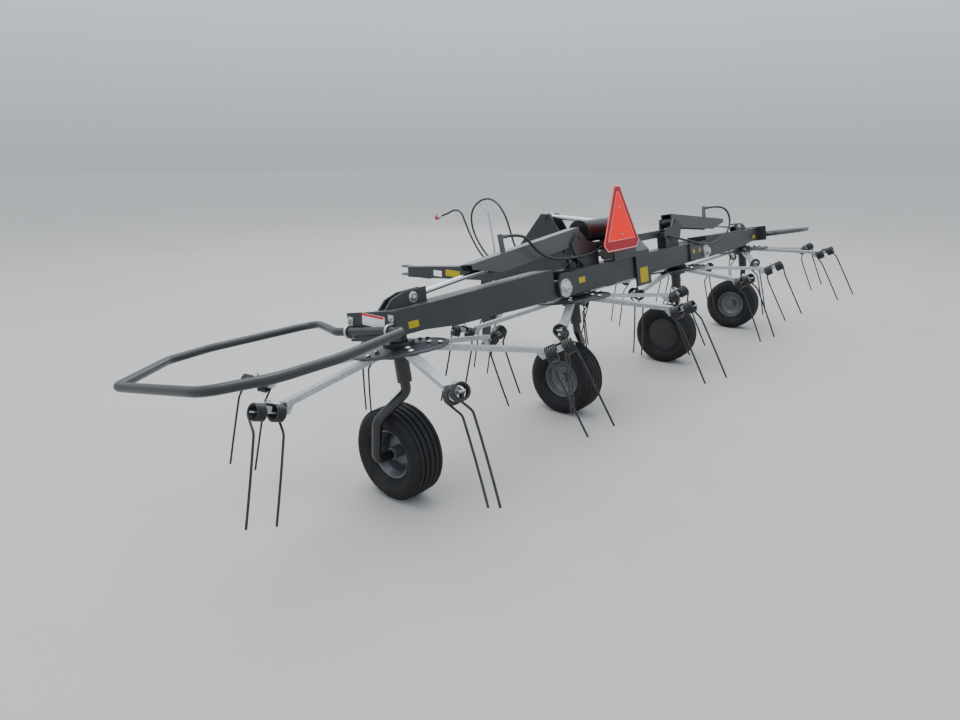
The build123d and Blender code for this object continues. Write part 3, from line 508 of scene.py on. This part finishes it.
@dataclass
class PaintedFrame:
    """Carried-over pieces of the frame, with rolled edges on its box sections."""

    nodes: dict[str, bpy.types.Object]
    corner: float = 0.007
    thin_corner: float = 0.0015
    box_sections: tuple[str, ...] = ("centre_beam", "wing_beam_left", "wing_beam_right", "drawbar", "bridge")
    sheet_pieces: tuple[str, ...] = ("lock_channel_left", "lock_channel_right", "tower", "saddle",
                                     "sign_bracket", "input_gearbox", "stand_leg")
    weld_distance: float = 0.00005
    edge_steps: int = 3
    sharp_angle: float = math.radians(50)

    def finish_of(self, node: str) -> Finish | None:
        """Finish of a node by the longest name in the table that it starts with."""
        names = [name for name in NODE_FINISHES
                 if node == name or (name.endswith("_") and node.startswith(name))]
        return NODE_FINISHES[max(names, key=len)] if names else None

    def soften(self, node: bpy.types.Object, width: float) -> None:
        """Rounds the edges of one node by modifiers.

        Args:
            node: the carried-over object.
            width: width of the rounded edge.
        """
        weld = node.modifiers.new("join_faces", "WELD")
        weld.merge_threshold = self.weld_distance
        bevel = node.modifiers.new("rolled_edge", "BEVEL")
        bevel.width = width
        bevel.segments = self.edge_steps
        bevel.limit_method = "ANGLE"
        bevel.angle_limit = self.sharp_angle
        bevel.harden_normals = True
        bevel.use_clamp_overlap = True

    def dress(self) -> None:
        """Gives each carried-over node its finish and its edges."""
        for name, node in self.nodes.items():
            finish = self.finish_of(name)
            if finish is None:
                continue
            node.data.materials.clear()
            node.data.materials.append(finish.build())
            if name in self.box_sections:
                self.soften(node, self.corner)
            elif name in self.sheet_pieces:
                self.soften(node, self.thin_corner)
        LOG.info("dressed %d carried-over nodes", len(self.nodes))


@dataclass
class SpringTine:
    """Double spring tine of one arm, wound from a single wire."""

    wire: float = 0.0045
    coil_radius: float = 0.027
    spacing: float = 0.069
    turns: int = 5
    knee: float = 0.066
    slant: float = math.radians(38)
    length: float = 0.375
    pitch_share: float = 1.04
    tip_ahead: float = 0.008
    bend_start: float = 0.010
    bend_middle: float = 0.0022
    bow: float = 0.002
    steps: int = 22

    def half_route(self, hand: int) -> list[Vector]:
        """Line of the wire from the middle loop to one tip.

        Args:
            hand: -1 for the coil nearer the hub, 1 for the outer one.

        Returns:
            Points in the coil's frame.
        """
        inner = self.spacing / 2 - self.turns * self.wire
        last = math.pi / 2 + self.slant
        total = last + 2 * math.pi * (self.turns - 1)
        pitch = 2 * self.wire * self.pitch_share
        points = [Vector((hand * inner * share, 0, self.coil_radius)) for share in (0.0, 0.5)]
        count = int(self.steps * total / (2 * math.pi))
        for k in range(count + 1):
            turn = total * k / count
            along = inner + self.wire + pitch * turn / (2 * math.pi)
            points.append(Vector((hand * along, -self.coil_radius * math.sin(turn),
                                  self.coil_radius * math.cos(turn))))
        start = points[-1]
        reach = Vector((0, math.sin(self.slant), -math.cos(self.slant)))
        knee = start + reach * self.knee
        tip = Vector((start.x, knee.y + self.tip_ahead, -self.length))
        down = (tip - knee).normalized()
        for share in (0.35, 0.72):
            points.append(start + reach * self.knee * share)
        points.append(knee - reach * self.bend_start)
        points.append(knee + (down - reach) * self.bend_middle)
        points.append(knee + down * self.bend_start)
        for share in (0.25, 0.5, 0.75):
            points.append(knee.lerp(tip, share) + Vector((0, self.bow * math.sin(math.pi * share), 0)))
        points.append(tip)
        return points

    def route(self, place: Matrix) -> list[Vector]:
        """Whole line of the wire, tip to tip, in the row frame."""
        inner, outer = self.half_route(-1), self.half_route(1)
        return [place @ point for point in reversed(inner[1:])] + [place @ point for point in outer]


@dataclass
class Rotor:
    """Wound tines, their clamps and the plate's bolts of one rotor."""

    number: int
    tip_radius: float = 0.645
    tip_level: float = -0.090
    flare: float = math.radians(19)
    arm_slope: float = math.radians(8)
    plate_radius: float = 0.205
    bolt_insets: tuple[float, float] = (0.080, 0.034)
    arm_half: float = 0.010
    plate_rise: float = 0.0128
    clamp_half_width: float = 0.0105
    clamp_half_length: float = 0.012
    clamp_sheet: float = 0.004
    tine: SpringTine = field(default_factory=SpringTine)

    @property
    def body(self) -> str:
        """Body that the rotor's pieces ride on."""
        return f"rotor_{self.number}"

    def turns(self) -> list[float]:
        """Angle of each arm about the rotor's axis."""
        phase = math.radians(PHASE_DEG[self.number - 1])
        return [phase + 2 * math.pi * k / ARMS for k in range(ARMS)]

    def hub_place(self, turn: float) -> Matrix:
        """Frame on the rotor's axis with X along an arm."""
        return leaning_matrix(ROTOR_X[self.number - 1]) @ Matrix.Rotation(turn, 4, "Z")

    def coil_place(self, turn: float) -> Matrix:
        """Frame on an arm's tip with X along the coils."""
        return (self.hub_place(turn) @ Matrix.Translation((self.tip_radius, 0, self.tip_level))
                @ Matrix.Rotation(-self.flare, 4, "Y"))

    def make_tines(self) -> bpy.types.Object:
        """Wound wire of all six arms, in place of the plain coils.

        Returns:
            The new piece.
        """
        routes = [self.tine.route(self.coil_place(turn)) for turn in self.turns()]
        data = wire_mesh(f"wound_tines_{self.number}", routes, self.tine.wire)
        piece = add_object(data.name, data)
        data.materials.clear()
        data.materials.append(SPRING_WIRE.build())
        data.shade_smooth()
        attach(piece, self.body)
        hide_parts(f"tines_{self.number}")
        LOG.info("%s", piece.name)
        return piece

    def make_clamps(self) -> bpy.types.Object:
        """Clamp plate and bolt over the loop between each pair of coils.

        Returns:
            The new piece.
        """
        shape = bmesh.new()
        low = self.tine.coil_radius + self.tine.wire
        high = low + self.clamp_sheet
        across, along = self.clamp_half_width, self.clamp_half_length
        plate = [(-across, -along), (across, -along), (across, along), (-across, along)]
        for turn in self.turns():
            place = self.coil_place(turn)
            add_prism(shape, plate, low, high, place, 0.001)
            add_bolt(shape, place @ Matrix.Translation((0, 0, high)), across=0.015, height=0.007)
        return mesh_piece(f"tine_clamps_{self.number}", shape, BRIGHT_ZINC, self.body)

    def make_plate_bolts(self) -> bpy.types.Object:
        """Domed heads on the rotor plate over each arm.

        Returns:
            The new piece.
        """
        shape = bmesh.new()
        dome = [(AXIS_GAP, 0.0), (0.0125, 0.0), (0.0115, 0.0022), (0.0075, 0.0046), (AXIS_GAP, 0.0052)]
        for turn in self.turns():
            for inset in self.bolt_insets:
                radius = self.plate_radius - inset
                level = (self.tip_level + (self.tip_radius - radius) * math.tan(self.arm_slope)
                         + self.arm_half / math.cos(self.arm_slope) + self.plate_rise)
                place = (self.hub_place(turn) @ Matrix.Translation((radius, 0, level))
                         @ Matrix.Rotation(self.arm_slope, 4, "Y"))
                add_lathe(shape, dome, place, 24)
        return mesh_piece(f"plate_bolts_{self.number}", shape, BRIGHT_ZINC, self.body)

    def build(self) -> None:
        """Makes every piece of the rotor."""
        self.make_tines()
        self.make_clamps()
        self.make_plate_bolts()


@dataclass
class Wheel:
    """Ribbed tyre, rim flanges, valve and hub fasteners of one wheel, and on one wheel a dark disc over the
    rim.
    """

    number: int
    half_width: float = 0.0825
    bead: float = 0.104
    # Centre across and half width of each rib
    ribs: tuple[tuple[float, float], ...] = ((0.0525, 0.0085), (0.028, 0.0105), (0.0, 0.0120),
                                             (-0.028, 0.0105), (-0.0525, 0.0085))
    rib_drop: float = 0.0022
    groove: float = 0.0075
    hub_face: float = 0.0472
    valve_turn: float = math.radians(40)
    valve_radius: float = 0.082
    valve_depth: float = 0.020

    @property
    def body(self) -> str:
        """Body that the wheel's pieces ride on."""
        return f"wheel_{self.number}"

    def facing_side(self, side: Side) -> Matrix:
        """Frame on the hub with Z along the axle, to one side."""
        centre = ground_point(ROTOR_X[self.number - 1], WHEEL_Y, WHEEL_RADIUS)
        return facing(centre, side.out)

    def axle_places(self) -> tuple[Matrix, Matrix]:
        """Frames on the hub with Z to the dish's open side, where the leg stands, and away from it."""
        near = self.facing_side(LEG_SIDES[self.number - 1])
        return near, near @ Matrix.Rotation(math.pi, 4, "X")

    def tread_profile(self) -> list[tuple[float, float]]:
        """Outline of the tyre's section as radius and distance across.

        Returns:
            Points round the closed outline.
        """
        width, outer = self.half_width, WHEEL_RADIUS
        side = [(self.bead + 0.001, 0.047), (self.bead + 0.003, 0.055), (self.bead + 0.010, 0.056),
                (self.bead + 0.013, 0.060), (0.124, 0.070), (0.128, 0.0722), (0.131, 0.0718), (0.142, 0.0785),
                (0.152, width - 0.0008), (0.160, width), (0.1605, width - 0.0015), (0.168, width - 0.001),
                (0.177, 0.0785), (0.186, 0.0725), (0.1935, 0.0640)]
        tread = []
        for centre, half in self.ribs:
            crown = outer - self.rib_drop * (centre / self.ribs[0][0]) ** 2
            tread += [(crown - self.groove, centre + half + 0.0005), (crown - 0.0012, centre + half - 0.0010),
                      (crown, centre + half - 0.0026), (crown, centre - half + 0.0026),
                      (crown - 0.0012, centre - half + 0.0010), (crown - self.groove, centre - half - 0.0005)]
        other = [(radius, -across) for radius, across in reversed(side)]
        return side + tread + other

    def make_tyre(self) -> bpy.types.Object:
        """Moulded tyre in place of the plain one.

        Returns:
            The new piece.
        """
        shape = bmesh.new()
        add_lathe(shape, self.tread_profile(), self.axle_places()[0], 96)
        piece = mesh_piece(f"ribbed_tyre_{self.number}", shape, TYRE_RUBBER, self.body, smooth_deg=32.0)
        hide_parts(f"tyre_{self.number}")
        return piece

    def make_hub(self) -> bpy.types.Object:
        """Hub rings on both faces, the axle's bolt on the far one and the valve in the dish.

        Returns:
            The new piece.
        """
        shape = bmesh.new()
        near, far = self.axle_places()
        ring = [(0.0135, 0.042), (0.0245, 0.042), (0.0245, 0.0455), (0.022, 0.047), (0.0135, 0.047)]
        for place in (near, far):
            add_lathe(shape, ring, place, 32)
        add_bolt(shape, far @ Matrix.Translation((0, 0, self.hub_face)), across=0.019, height=0.006)
        valve = (near @ Matrix.Rotation(self.valve_turn * self.number, 4, "Z")
                 @ Matrix.Translation((self.valve_radius, 0, -self.valve_depth)))
        add_lathe(shape, [(0.0003, 0.0), (0.006, 0.0), (0.0055, 0.012), (0.004, 0.014), (0.004, 0.034),
                          (0.0003, 0.034)], valve, 16)
        return mesh_piece(f"hub_trim_{self.number}", shape, RIM_SILVER, self.body)

    def make_flanges(self) -> bpy.types.Object:
        """Rolled flanges on both edges of the rim.

        Returns:
            The new piece.
        """
        shape = bmesh.new()
        flange = [(0.0995, 0.0440), (0.1045, 0.0440), (0.1062, 0.0462), (0.1050, 0.0486), (0.1020, 0.0488),
                  (0.0995, 0.0462)]
        for place in self.axle_places():
            add_lathe(shape, flange, place, 72)
        return mesh_piece(f"rim_flanges_{self.number}", shape, RIM_SILVER, self.body)

    def make_dark_disc(self) -> bpy.types.Object:
        """Dark shallow disc over the whole left face of the rim.

        Returns:
            The new piece.
        """
        shape = bmesh.new()
        disc = [(AXIS_GAP, 0.0580), (0.030, 0.0572), (0.060, 0.0545), (0.078, 0.0548), (0.098, 0.0530),
                (0.1085, 0.0500), (0.1085, 0.0490), (0.098, 0.0515), (0.060, 0.0530), (AXIS_GAP, 0.0565)]
        add_lathe(shape, disc, self.facing_side(Side.LEFT), 64)
        return mesh_piece(f"dark_wheel_disc_{self.number}", shape, BLACK_PAINT, self.body)

    def build(self) -> None:
        """Makes every piece of the wheel."""
        self.make_tyre()
        self.make_hub()
        self.make_flanges()
        if self.number == DARK_DISC_WHEEL:
            self.make_dark_disc()


@dataclass
class WingTrim:
    """Fasteners of one wing at its hinge, its guard bow and its cylinder's eye."""

    side: Side
    hinge_x: float = 0.900
    hinge_level: float = 0.075
    hinge_washer: float = 0.0107
    ear_front: float = 0.052
    guard_level: float = 0.089
    clamps_ahead: tuple[float, float] = (-0.138, 0.105)
    leg_spacing: float = 0.045
    tab_rise: float = 0.034
    tab_sheet: float = 0.004
    seat_gap: float = 0.0002
    eye: Triple = (1.856, 0.0255, 0.184)

    def make_hinge_nuts(self) -> bpy.types.Object:
        """Large washers and nuts on the ends of the wing's hinge pin.

        Returns:
            The new piece.
        """
        shape = bmesh.new()
        x = self.side.value * self.hinge_x
        top = self.hinge_washer
        washer = [(AXIS_GAP, self.seat_gap), (0.0468, self.seat_gap), (0.0468, 0.0092), (0.0455, top),
                  (AXIS_GAP, top)]
        for face, out in ((EAR_REAR, -AHEAD), (self.ear_front, AHEAD)):
            place = facing(frame_point(x, face, self.hinge_level), out)
            add_lathe(shape, washer, place, 64)
            add_bolt(shape, place @ Matrix.Translation((0, 0, top)), across=0.046, height=0.016)
        return mesh_piece(f"hinge_nuts_{self.side.word}", shape, BRIGHT_ZINC, "frame")

    def make_clamp_nuts(self) -> bpy.types.Object:
        """Nuts of the U-bolts that hold the guard bow, and the zinc tabs above them.

        Returns:
            The new piece.
        """
        shape = bmesh.new()
        tab = [(-0.015, 0.0), (0.015, 0.0), (0.015, 0.024), (-0.015, 0.024)]
        face = self.side.value * (END_FACE + self.seat_gap)
        for ahead in self.clamps_ahead:
            for rise in (-self.leg_spacing / 2, self.leg_spacing / 2):
                place = facing(frame_point(face, ahead, self.guard_level + rise), self.side.out)
                add_bolt(shape, place, across=0.014, height=0.007)
            place = facing(frame_point(face, ahead, self.guard_level + self.tab_rise), self.side.out)
            add_prism(shape, tab, 0.0, self.tab_sheet, place, 0.001)
            place = place @ Matrix.Translation((0, 0.013, self.tab_sheet))
            add_bolt(shape, place, across=0.013, height=0.007)
        return mesh_piece(f"clamp_nuts_{self.side.word}", shape, BRIGHT_ZINC, self.side.wing)

    def make_eye_nuts(self) -> bpy.types.Object:
        """Heads of the pin through the bracket that the cylinder pulls.

        Returns:
            The new piece.
        """
        shape = bmesh.new()
        along, across, level = self.eye
        for hand in (-1, 1):
            spot = frame_point(self.side.value * along, hand * across, level)
            add_bolt(shape, facing(spot, AHEAD * hand), across=0.034, height=0.0045)
        return mesh_piece(f"eye_nuts_{self.side.word}", shape, BRIGHT_ZINC, self.side.wing)

    def build(self) -> None:
        """Makes every piece of trim."""
        self.make_hinge_nuts()
        self.make_clamp_nuts()
        self.make_eye_nuts()


@dataclass
class Label:
    """Blank stick-on plate that lies flat on a painted face."""

    name: str
    centre: Vector
    normal: Vector
    width: float
    height: float
    finish: Finish
    body: str
    thickness: float = 0.0006
    gap: float = 0.0001
    corner_share: float = 0.08

    def build(self) -> bpy.types.Object:
        """Thin plate with rounded corners.

        Returns:
            The new piece.
        """
        shape = bmesh.new()
        radius = min(self.width, self.height) * self.corner_share
        outline = []
        for sx, sy, first in ((1, -1, -90), (1, 1, 0), (-1, 1, 90), (-1, -1, 180)):
            for k in range(4):
                turn = math.radians(first + 30 * k)
                outline.append((sx * (self.width / 2 - radius) + radius * math.cos(turn),
                                sy * (self.height / 2 - radius) + radius * math.sin(turn)))
        add_prism(shape, outline, self.gap, self.thickness, facing(self.centre, self.normal))
        return mesh_piece(self.name, shape, self.finish, self.body)


@dataclass
class RearSign:
    """Slow-vehicle triangle with its dark border, thin edge line and screws."""

    x: float = -0.300
    width: float = 0.406
    height: float = 0.356
    low: float = 0.208
    rear: float = -0.134
    sheet: float = 0.003
    top_half: float = 0.032
    foot: float = 0.040
    rise: float = 0.038
    border: float = 0.036
    low_border: float = 0.022
    line: float = 0.003
    face_lift: float = 0.0013
    screw_levels: tuple[float, float] = (0.085, 0.235)

    def corners(self, inset: float, raised: float) -> list[tuple[float, float]]:
        """Corners of the triangle, drawn in by a width.

        Args:
            inset: distance in from the cut edge.
            raised: further rise of the lower edge.

        Returns:
            X and height of each corner.
        """
        half, cut = self.width / 2, self.top_half
        outline = [Vector((-half, self.rise)), Vector((-half + self.foot, 0)), Vector((half - self.foot, 0)),
                   Vector((half, self.rise)), Vector((cut, self.height)), Vector((-cut, self.height))]
        made = []
        for k, here in enumerate(outline):
            before, after = outline[k - 1], outline[(k + 1) % len(outline)]
            first, second = (here - before).normalized(), (after - here).normalized()
            inward = Vector((-first.y, first.x)) + Vector((-second.y, second.x))
            scale = inset / max(0.25, 0.5 * inward.length_squared)
            made.append((here + inward * scale).to_tuple())
        if raised > 0:
            slope = (half - cut) / (self.height - self.rise)
            for k, lift in ((0, 0.5 * raised), (1, raised), (2, raised), (3, 0.5 * raised)):
                x, y = made[k]
                made[k] = (x - math.copysign(slope * lift, x), y + lift)
        return made

    def make_layer(self, name: str, inset: float, lift: float, finish: Finish, raised: float
                   ) -> bpy.types.Object:
        """One coloured field of the sign on its rear face.

        Args:
            name: name of the piece.
            inset: distance in from the sign's edge.
            lift: height above the sheet.
            finish: finish of the field.
            raised: further rise of the field's lower edge.

        Returns:
            The new piece.
        """
        shape = bmesh.new()
        place = (leaning_matrix(self.x, self.rear - self.sheet, self.low)
                 @ Matrix.Rotation(math.pi / 2, 4, "X"))
        add_prism(shape, self.corners(inset, raised), 0.0, lift, place)
        return mesh_piece(name, shape, finish, "frame")

    def build(self) -> None:
        """Makes the border, the line, the centre and the screws."""
        # Columns: name, distance in from the edge, height above the sheet, finish, rise of the lower edge.
        for name, inset, lift, finish, raised in (
                ("sign_border_line", 0.001, 0.0004, SIGN_LINE, 0.0),
                ("sign_border", 0.006, 0.0007, SIGN_RED, 0.0),
                ("sign_centre_line", self.border - self.line, 0.0010, SIGN_LINE, self.low_border),
                ("sign_centre", self.border, self.face_lift, SIGN_ORANGE, self.low_border)):
            self.make_layer(name, inset, lift, finish, raised)
        shape = bmesh.new()
        for level in self.screw_levels:
            spot = frame_point(self.x, self.rear - self.sheet - self.face_lift, self.low + level)
            add_bolt(shape, facing(spot, -AHEAD), across=0.010, height=0.004)
        mesh_piece("sign_screws", shape, ZINC, "frame")


@dataclass
class SaddleSheet:
    """Wide painted sheet that wraps the saddle from the bridge down over the centre beam."""

    left: float = -0.132
    right: float = 0.0425
    low: float = -0.028
    rear: float = -0.1235
    beam_rear: float = -0.1105
    bend: float = 0.1795
    bridge_rear: float = -0.0305
    bridge_high: float = 0.2710
    sheet: float = 0.013
    lip: float = 0.018

    def build(self) -> bpy.types.Object:
        """Makes the sheet.

        Returns:
            The new piece.
        """
        outline = [(self.beam_rear, self.low), (self.rear, self.low), (self.rear, self.bend),
                   (self.bridge_rear - self.sheet, self.bridge_high), (self.bridge_rear, self.bridge_high),
                   (self.bridge_rear, self.bridge_high - self.lip), (self.beam_rear, self.bend - 0.006)]
        section = Matrix(((0, 0, 1, 0), (1, 0, 0, 0), (0, 1, 0, 0), (0, 0, 0, 1)))
        shape = bmesh.new()
        add_prism(shape, outline, 0.0, self.right - self.left, leaning_matrix(self.left) @ section)
        return mesh_piece("saddle_sheet", shape, BLACK_PAINT, "frame")


@dataclass
class DustCap:
    """Red moulded cap over the end of the supply hose's coupler."""

    end: Triple = (-0.016, 1.580, 0.985)
    towards: Triple = (-0.016, 1.520, 1.004)
    start: float = 0.046
    reach: float = 0.028
    radius: float = 0.0172
    rib_pitch: float = 0.006
    rib_drop: float = 0.0009

    def build(self) -> bpy.types.Object:
        """Ribbed cap with a rounded front edge.

        Returns:
            The new piece.
        """
        first = ground_point(*self.end)
        out = (first - ground_point(*self.towards)).normalized()
        place = facing(first + out * self.start, out)
        shape = bmesh.new()
        radius, valley = self.radius, self.radius - self.rib_drop
        profile = [(AXIS_GAP, 0.0), (radius + 0.002, 0.0), (radius + 0.002, 0.004)]
        for rib in range(1, 4):
            base = self.rib_pitch * rib
            profile += [(radius, base), (radius, base + 0.003), (valley, base + 0.004)]
        profile += [(valley, self.reach - 0.004), (radius - 0.004, self.reach), (AXIS_GAP, self.reach)]
        add_lathe(shape, profile, place, 40)
        return mesh_piece("dust_cap", shape, CAP_RED, "frame")


@dataclass
class Line:
    """Hose or rope along a route that matches the solid model's."""

    node: str
    points: list[Triple]
    leaning: bool
    body: str
    radius: float = 0.007
    finish: Finish = HOSE_RUBBER
    slot_name: str = "hose_rubber"
    far_end: FarEnd = FarEnd.OBJECT
    stiffness: Stiffness = Stiffness.STIFF
    lay: str = "hanging"
    carried: tuple[str, ...] = ()
    pieces: tuple[bpy.types.Object, ...] = ()

    def build(self, nodes: dict[str, bpy.types.Object]) -> bpy.types.Object:
        """Smooth cord in place of its plain solid.

        Args:
            nodes: carried-over nodes by name; not used.

        Returns:
            The new piece.
        """
        change = frame_point if self.leaning else ground_point
        spots = [change(*(value / 1000 for value in point)) for point in self.points]
        curve = tube_curve(self.node + "_line", [spots], Course.SMOOTH, self.radius, 5)
        spline = curve.splines[0]
        spline.order_u = 3
        spline.use_endpoint_u = True
        spline.resolution_u = 10
        piece = add_object(curve.name, curve)
        curve.materials.append(self.finish.build())
        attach(piece, self.body)
        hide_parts(self.node)
        return piece


@dataclass
class Rope(Line):
    """Limp cord of pale fibre."""

    radius: float = 0.003
    finish: Finish = ROPE_FIBRE
    slot_name: str = "rope_white"
    stiffness: Stiffness = Stiffness.LIMP


# Routes in millimetres. Arm and frame hoses: X, v and w. The others: X, Y and Z from the ground.

LEFT_ARM_HOSE = [
    (-1187, -19, 372.8), (-1119, -61.2, 372.8), (-1075, -76, 315), (-1015, -76, 268), (-940, -72, 238),
    (-855, -68, 222), (-770, -66, 215), (-697, -66, 213),
]
LEFT_FRAME_HOSE = [
    (-697, -66, 213), (-624, -66, 211), (-560, -65, 213), (-500, -64, 219), (-455, -63, 227),
    (-424, -62, 234),
]
RIGHT_ARM_HOSE = [
    (1233.8, -32.1, 372.8), (1255.4, -75, 372.8), (1288, -112, 362), (1322, -133, 333), (1342, -141, 288),
    (1338, -143, 238), (1292, -143, 188), (1215, -143, 153), (1110, -142, 132), (985, -142, 124),
    (892, -141, 127), (830, -138, 134),
]
RIGHT_FRAME_HOSE = [
    (830, -138, 134), (768, -135, 141), (705, -133, 158), (640, -110, 176), (575, -84, 196), (510, -70, 215),
    (455, -65, 230), (424, -62, 238),
]
SUPPLY_HOSE = [
    (-16, 1580, 985), (-16, 1520, 1004), (-17, 1455, 1036), (-18, 1388, 1022), (-20, 1350, 950),
    (-22, 1296, 858), (-24, 1236, 776), (-26, 1176, 716), (-27, 1112, 676),
]
FEED_HOSE = [
    (24, 1112, 676), (24, 1156, 703), (24, 1216, 756), (23, 1280, 835), (22, 1325, 930), (20, 1322, 1030),
    (18, 1255, 1100), (16, 1165, 1128), (12, 1075, 1102), (8, 995, 1015), (2, 945, 905), (-4, 900, 805),
    (-8, 830, 735), (-12, 730, 705), (-14, 620, 714), (-12, 510, 724), (-14, 430, 734), (-48, 345, 760),
    (-88, 262, 806), (-110, 190, 862), (-113.5, 118, 898),
]
PULL_ROPE = [
    (65, 610, 1030), (102, 610, 1030), (160, 565, 1008), (235, 500, 984), (315, 425, 968), (395, 350, 964),
    (475, 275, 970), (550, 205, 976), (592, 166, 966), (600, 150, 967.2), (600, 112.8, 973.9),
]


@dataclass(frozen=True)
class SoftLight:
    """Square area light that looks at the middle of the machine."""

    name: str
    spot: Triple
    size: float
    power: float
    target: Triple = (0.0, 0.2 - HITCH_Y, 0.1)

    def build(self) -> None:
        """Makes the light."""
        data = bpy.data.lights.new(self.name, "AREA")
        data.size = self.size
        data.energy = self.power
        light = add_object(self.name, data)
        light.location = self.spot
        aim = Vector(self.target) - Vector(self.spot)
        light.rotation_euler = aim.to_track_quat("-Z", "Y").to_euler()


@dataclass
class Studio:
    """Pale floor, soft lights and the camera that looks as the photograph does."""

    floor_level: float = -HITCH_Z
    camera_ground: Triple = (-3.689, -1.905, 1.404)
    heading: float = math.radians(40.30)
    pitch: float = math.radians(17.17)
    focal_pixels: float = 655.79
    image_width: float = 960.0
    sensor: float = 36.0
    floor_reach: float = 60.0
    horizon_strength: float = 0.58
    zenith_strength: float = 1.40
    full_sky_height: float = 0.5
    lights: tuple[SoftLight, ...] = (SoftLight("key", (-3.0, -1.0, 8.0), 5.0, 400.0),
                                     SoftLight("top", (2.0, 0.5, 8.5), 7.0, 330.0),
                                     SoftLight("far", (7.0, 4.0, 4.0), 4.0, 110.0))

    def make_camera(self) -> None:
        """Camera at the photograph's place, with its field of view."""
        data = bpy.data.cameras.new("camera")
        data.sensor_width = self.sensor
        data.lens = self.focal_pixels / self.image_width * self.sensor
        data.clip_start, data.clip_end = 0.05, 200.0
        camera = add_object("camera", data)
        level, drop = math.cos(self.pitch), math.sin(self.pitch)
        ahead = Vector((math.cos(self.heading) * level, math.sin(self.heading) * level, -drop))
        camera.location = ground_point(*self.camera_ground)
        camera.rotation_euler = ahead.to_track_quat("-Z", "Y").to_euler()
        bpy.context.scene.camera = camera

    def make_floor(self) -> None:
        """Wide floor under the machine."""
        shape = bmesh.new()
        corners = [shape.verts.new((x * self.floor_reach, y * self.floor_reach, self.floor_level))
                   for x, y in ((-1, -1), (1, -1), (1, 1), (-1, 1))]
        shape.faces.new(corners)
        data = bpy.data.meshes.new("floor")
        shape.to_mesh(data)
        shape.free()
        data.materials.append(FLOOR_PALE.build())
        add_object("floor", data)

    def make_lights(self) -> None:
        """Large soft lights and a sky that is brighter overhead than at the horizon."""
        world = bpy.data.worlds.new("studio_sky")
        world.use_nodes = True
        tree = world.node_tree
        sky = tree.nodes["Background"]
        sky.inputs["Color"].default_value = (0.86, 0.92, 1.0, 1.0)
        split = tree.nodes.new("ShaderNodeSeparateXYZ")
        tree.links.new(tree.nodes.new("ShaderNodeTexCoord").outputs["Generated"], split.inputs["Vector"])
        fade = tree.nodes.new("ShaderNodeMapRange")
        fade.inputs["From Max"].default_value = self.full_sky_height
        fade.inputs["To Min"].default_value = self.horizon_strength
        fade.inputs["To Max"].default_value = self.zenith_strength
        tree.links.new(split.outputs["Z"], fade.inputs["Value"])
        tree.links.new(fade.outputs["Result"], sky.inputs["Strength"])
        bpy.context.scene.world = world
        for light in self.lights:
            light.build()

    def build(self) -> None:
        """Makes the floor, the lights and the camera."""
        self.make_camera()
        self.make_floor()
        self.make_lights()


def make_lines(nodes: dict[str, bpy.types.Object]) -> None:
    """Makes every hose and the pull rope.

    Args:
        nodes: carried-over nodes by name.
    """
    Line("hose_left", LEFT_ARM_HOSE, True, "cylinder_left").build(nodes)
    Line("hose_right", RIGHT_ARM_HOSE, True, "cylinder_right").build(nodes)
    Line("frame_hose_left", LEFT_FRAME_HOSE, True, "frame").build(nodes)
    Line("frame_hose_right", RIGHT_FRAME_HOSE, True, "frame").build(nodes)
    Line("feed_hose", FEED_HOSE, False, "frame").build(nodes)
    Line("supply_hose", list(reversed(SUPPLY_HOSE)), False, "frame", far_end=FarEnd.CONNECTOR,
         carried=("coupler",), pieces=(DustCap().build(),)).build(nodes)
    Rope("pull_rope", PULL_ROPE, False, "frame").build(nodes)


def make_labels() -> None:
    """Makes the blank labels on the beams, the saddle, the end plates and the drawbar."""
    # Columns: name, X, v and w of the centre, width, height, body.
    for name, x, v, w, width, height, body in (
            ("label_wing_left", -1.949, WING_REAR, 0.087, 0.055, 0.027, "wing_left"),
            ("label_wing_right", 1.949, WING_REAR, 0.087, 0.055, 0.027, "wing_right"),
            ("label_beam_left", -0.735, EAR_REAR, 0.096, 0.062, 0.030, "frame"),
            ("label_beam_right", 0.700, EAR_REAR, 0.096, 0.030, 0.028, "frame"),
            ("label_beam_right_outer", 0.800, EAR_REAR, 0.096, 0.030, 0.028, "frame"),
            ("label_saddle", -0.045, SaddleSheet.rear, 0.033, 0.100, 0.090, "frame")):
        Label(name, frame_point(x, v, w), -AHEAD, width, height, LABEL_YELLOW, body).build()
    for side in Side:
        plate = frame_point(side.value * END_FACE, -0.033, 0.127)
        Label(f"label_end_{side.word}", plate, side.out, 0.130, 0.048, LABEL_WHITE, side.wing).build()
        band = frame_point(side.value * (END_FACE + Label.thickness), -0.033, 0.145)
        Label(f"label_end_band_{side.word}", band, side.out, 0.126, 0.010, LABEL_RED, side.wing).build()
    left = Side.LEFT.out
    spot = ground_point(-0.045, 1.615, 0.545)
    Label("label_drawbar_white", spot, left, 0.086, 0.045, LABEL_WHITE, "frame").build()
    spot = ground_point(-0.045, 1.457, 0.561)
    Label("label_drawbar_yellow", spot, left, 0.146, 0.048, LABEL_YELLOW, "frame").build()


def main() -> None:
    """Builds the looks in order."""
    logging.basicConfig(level=logging.INFO, format="%(message)s")
    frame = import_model()
    nodes = frame["nodes"]
    Studio().build()
    make_lines(nodes)
    PaintedFrame(nodes).dress()
    for number in range(1, len(ROTOR_X) + 1):
        Rotor(number).build()
        Wheel(number).build()
    for side in Side:
        WingTrim(side).build()
    RearSign().build()
    SaddleSheet().build()
    make_labels()


if __name__ == "__main__":
    main()
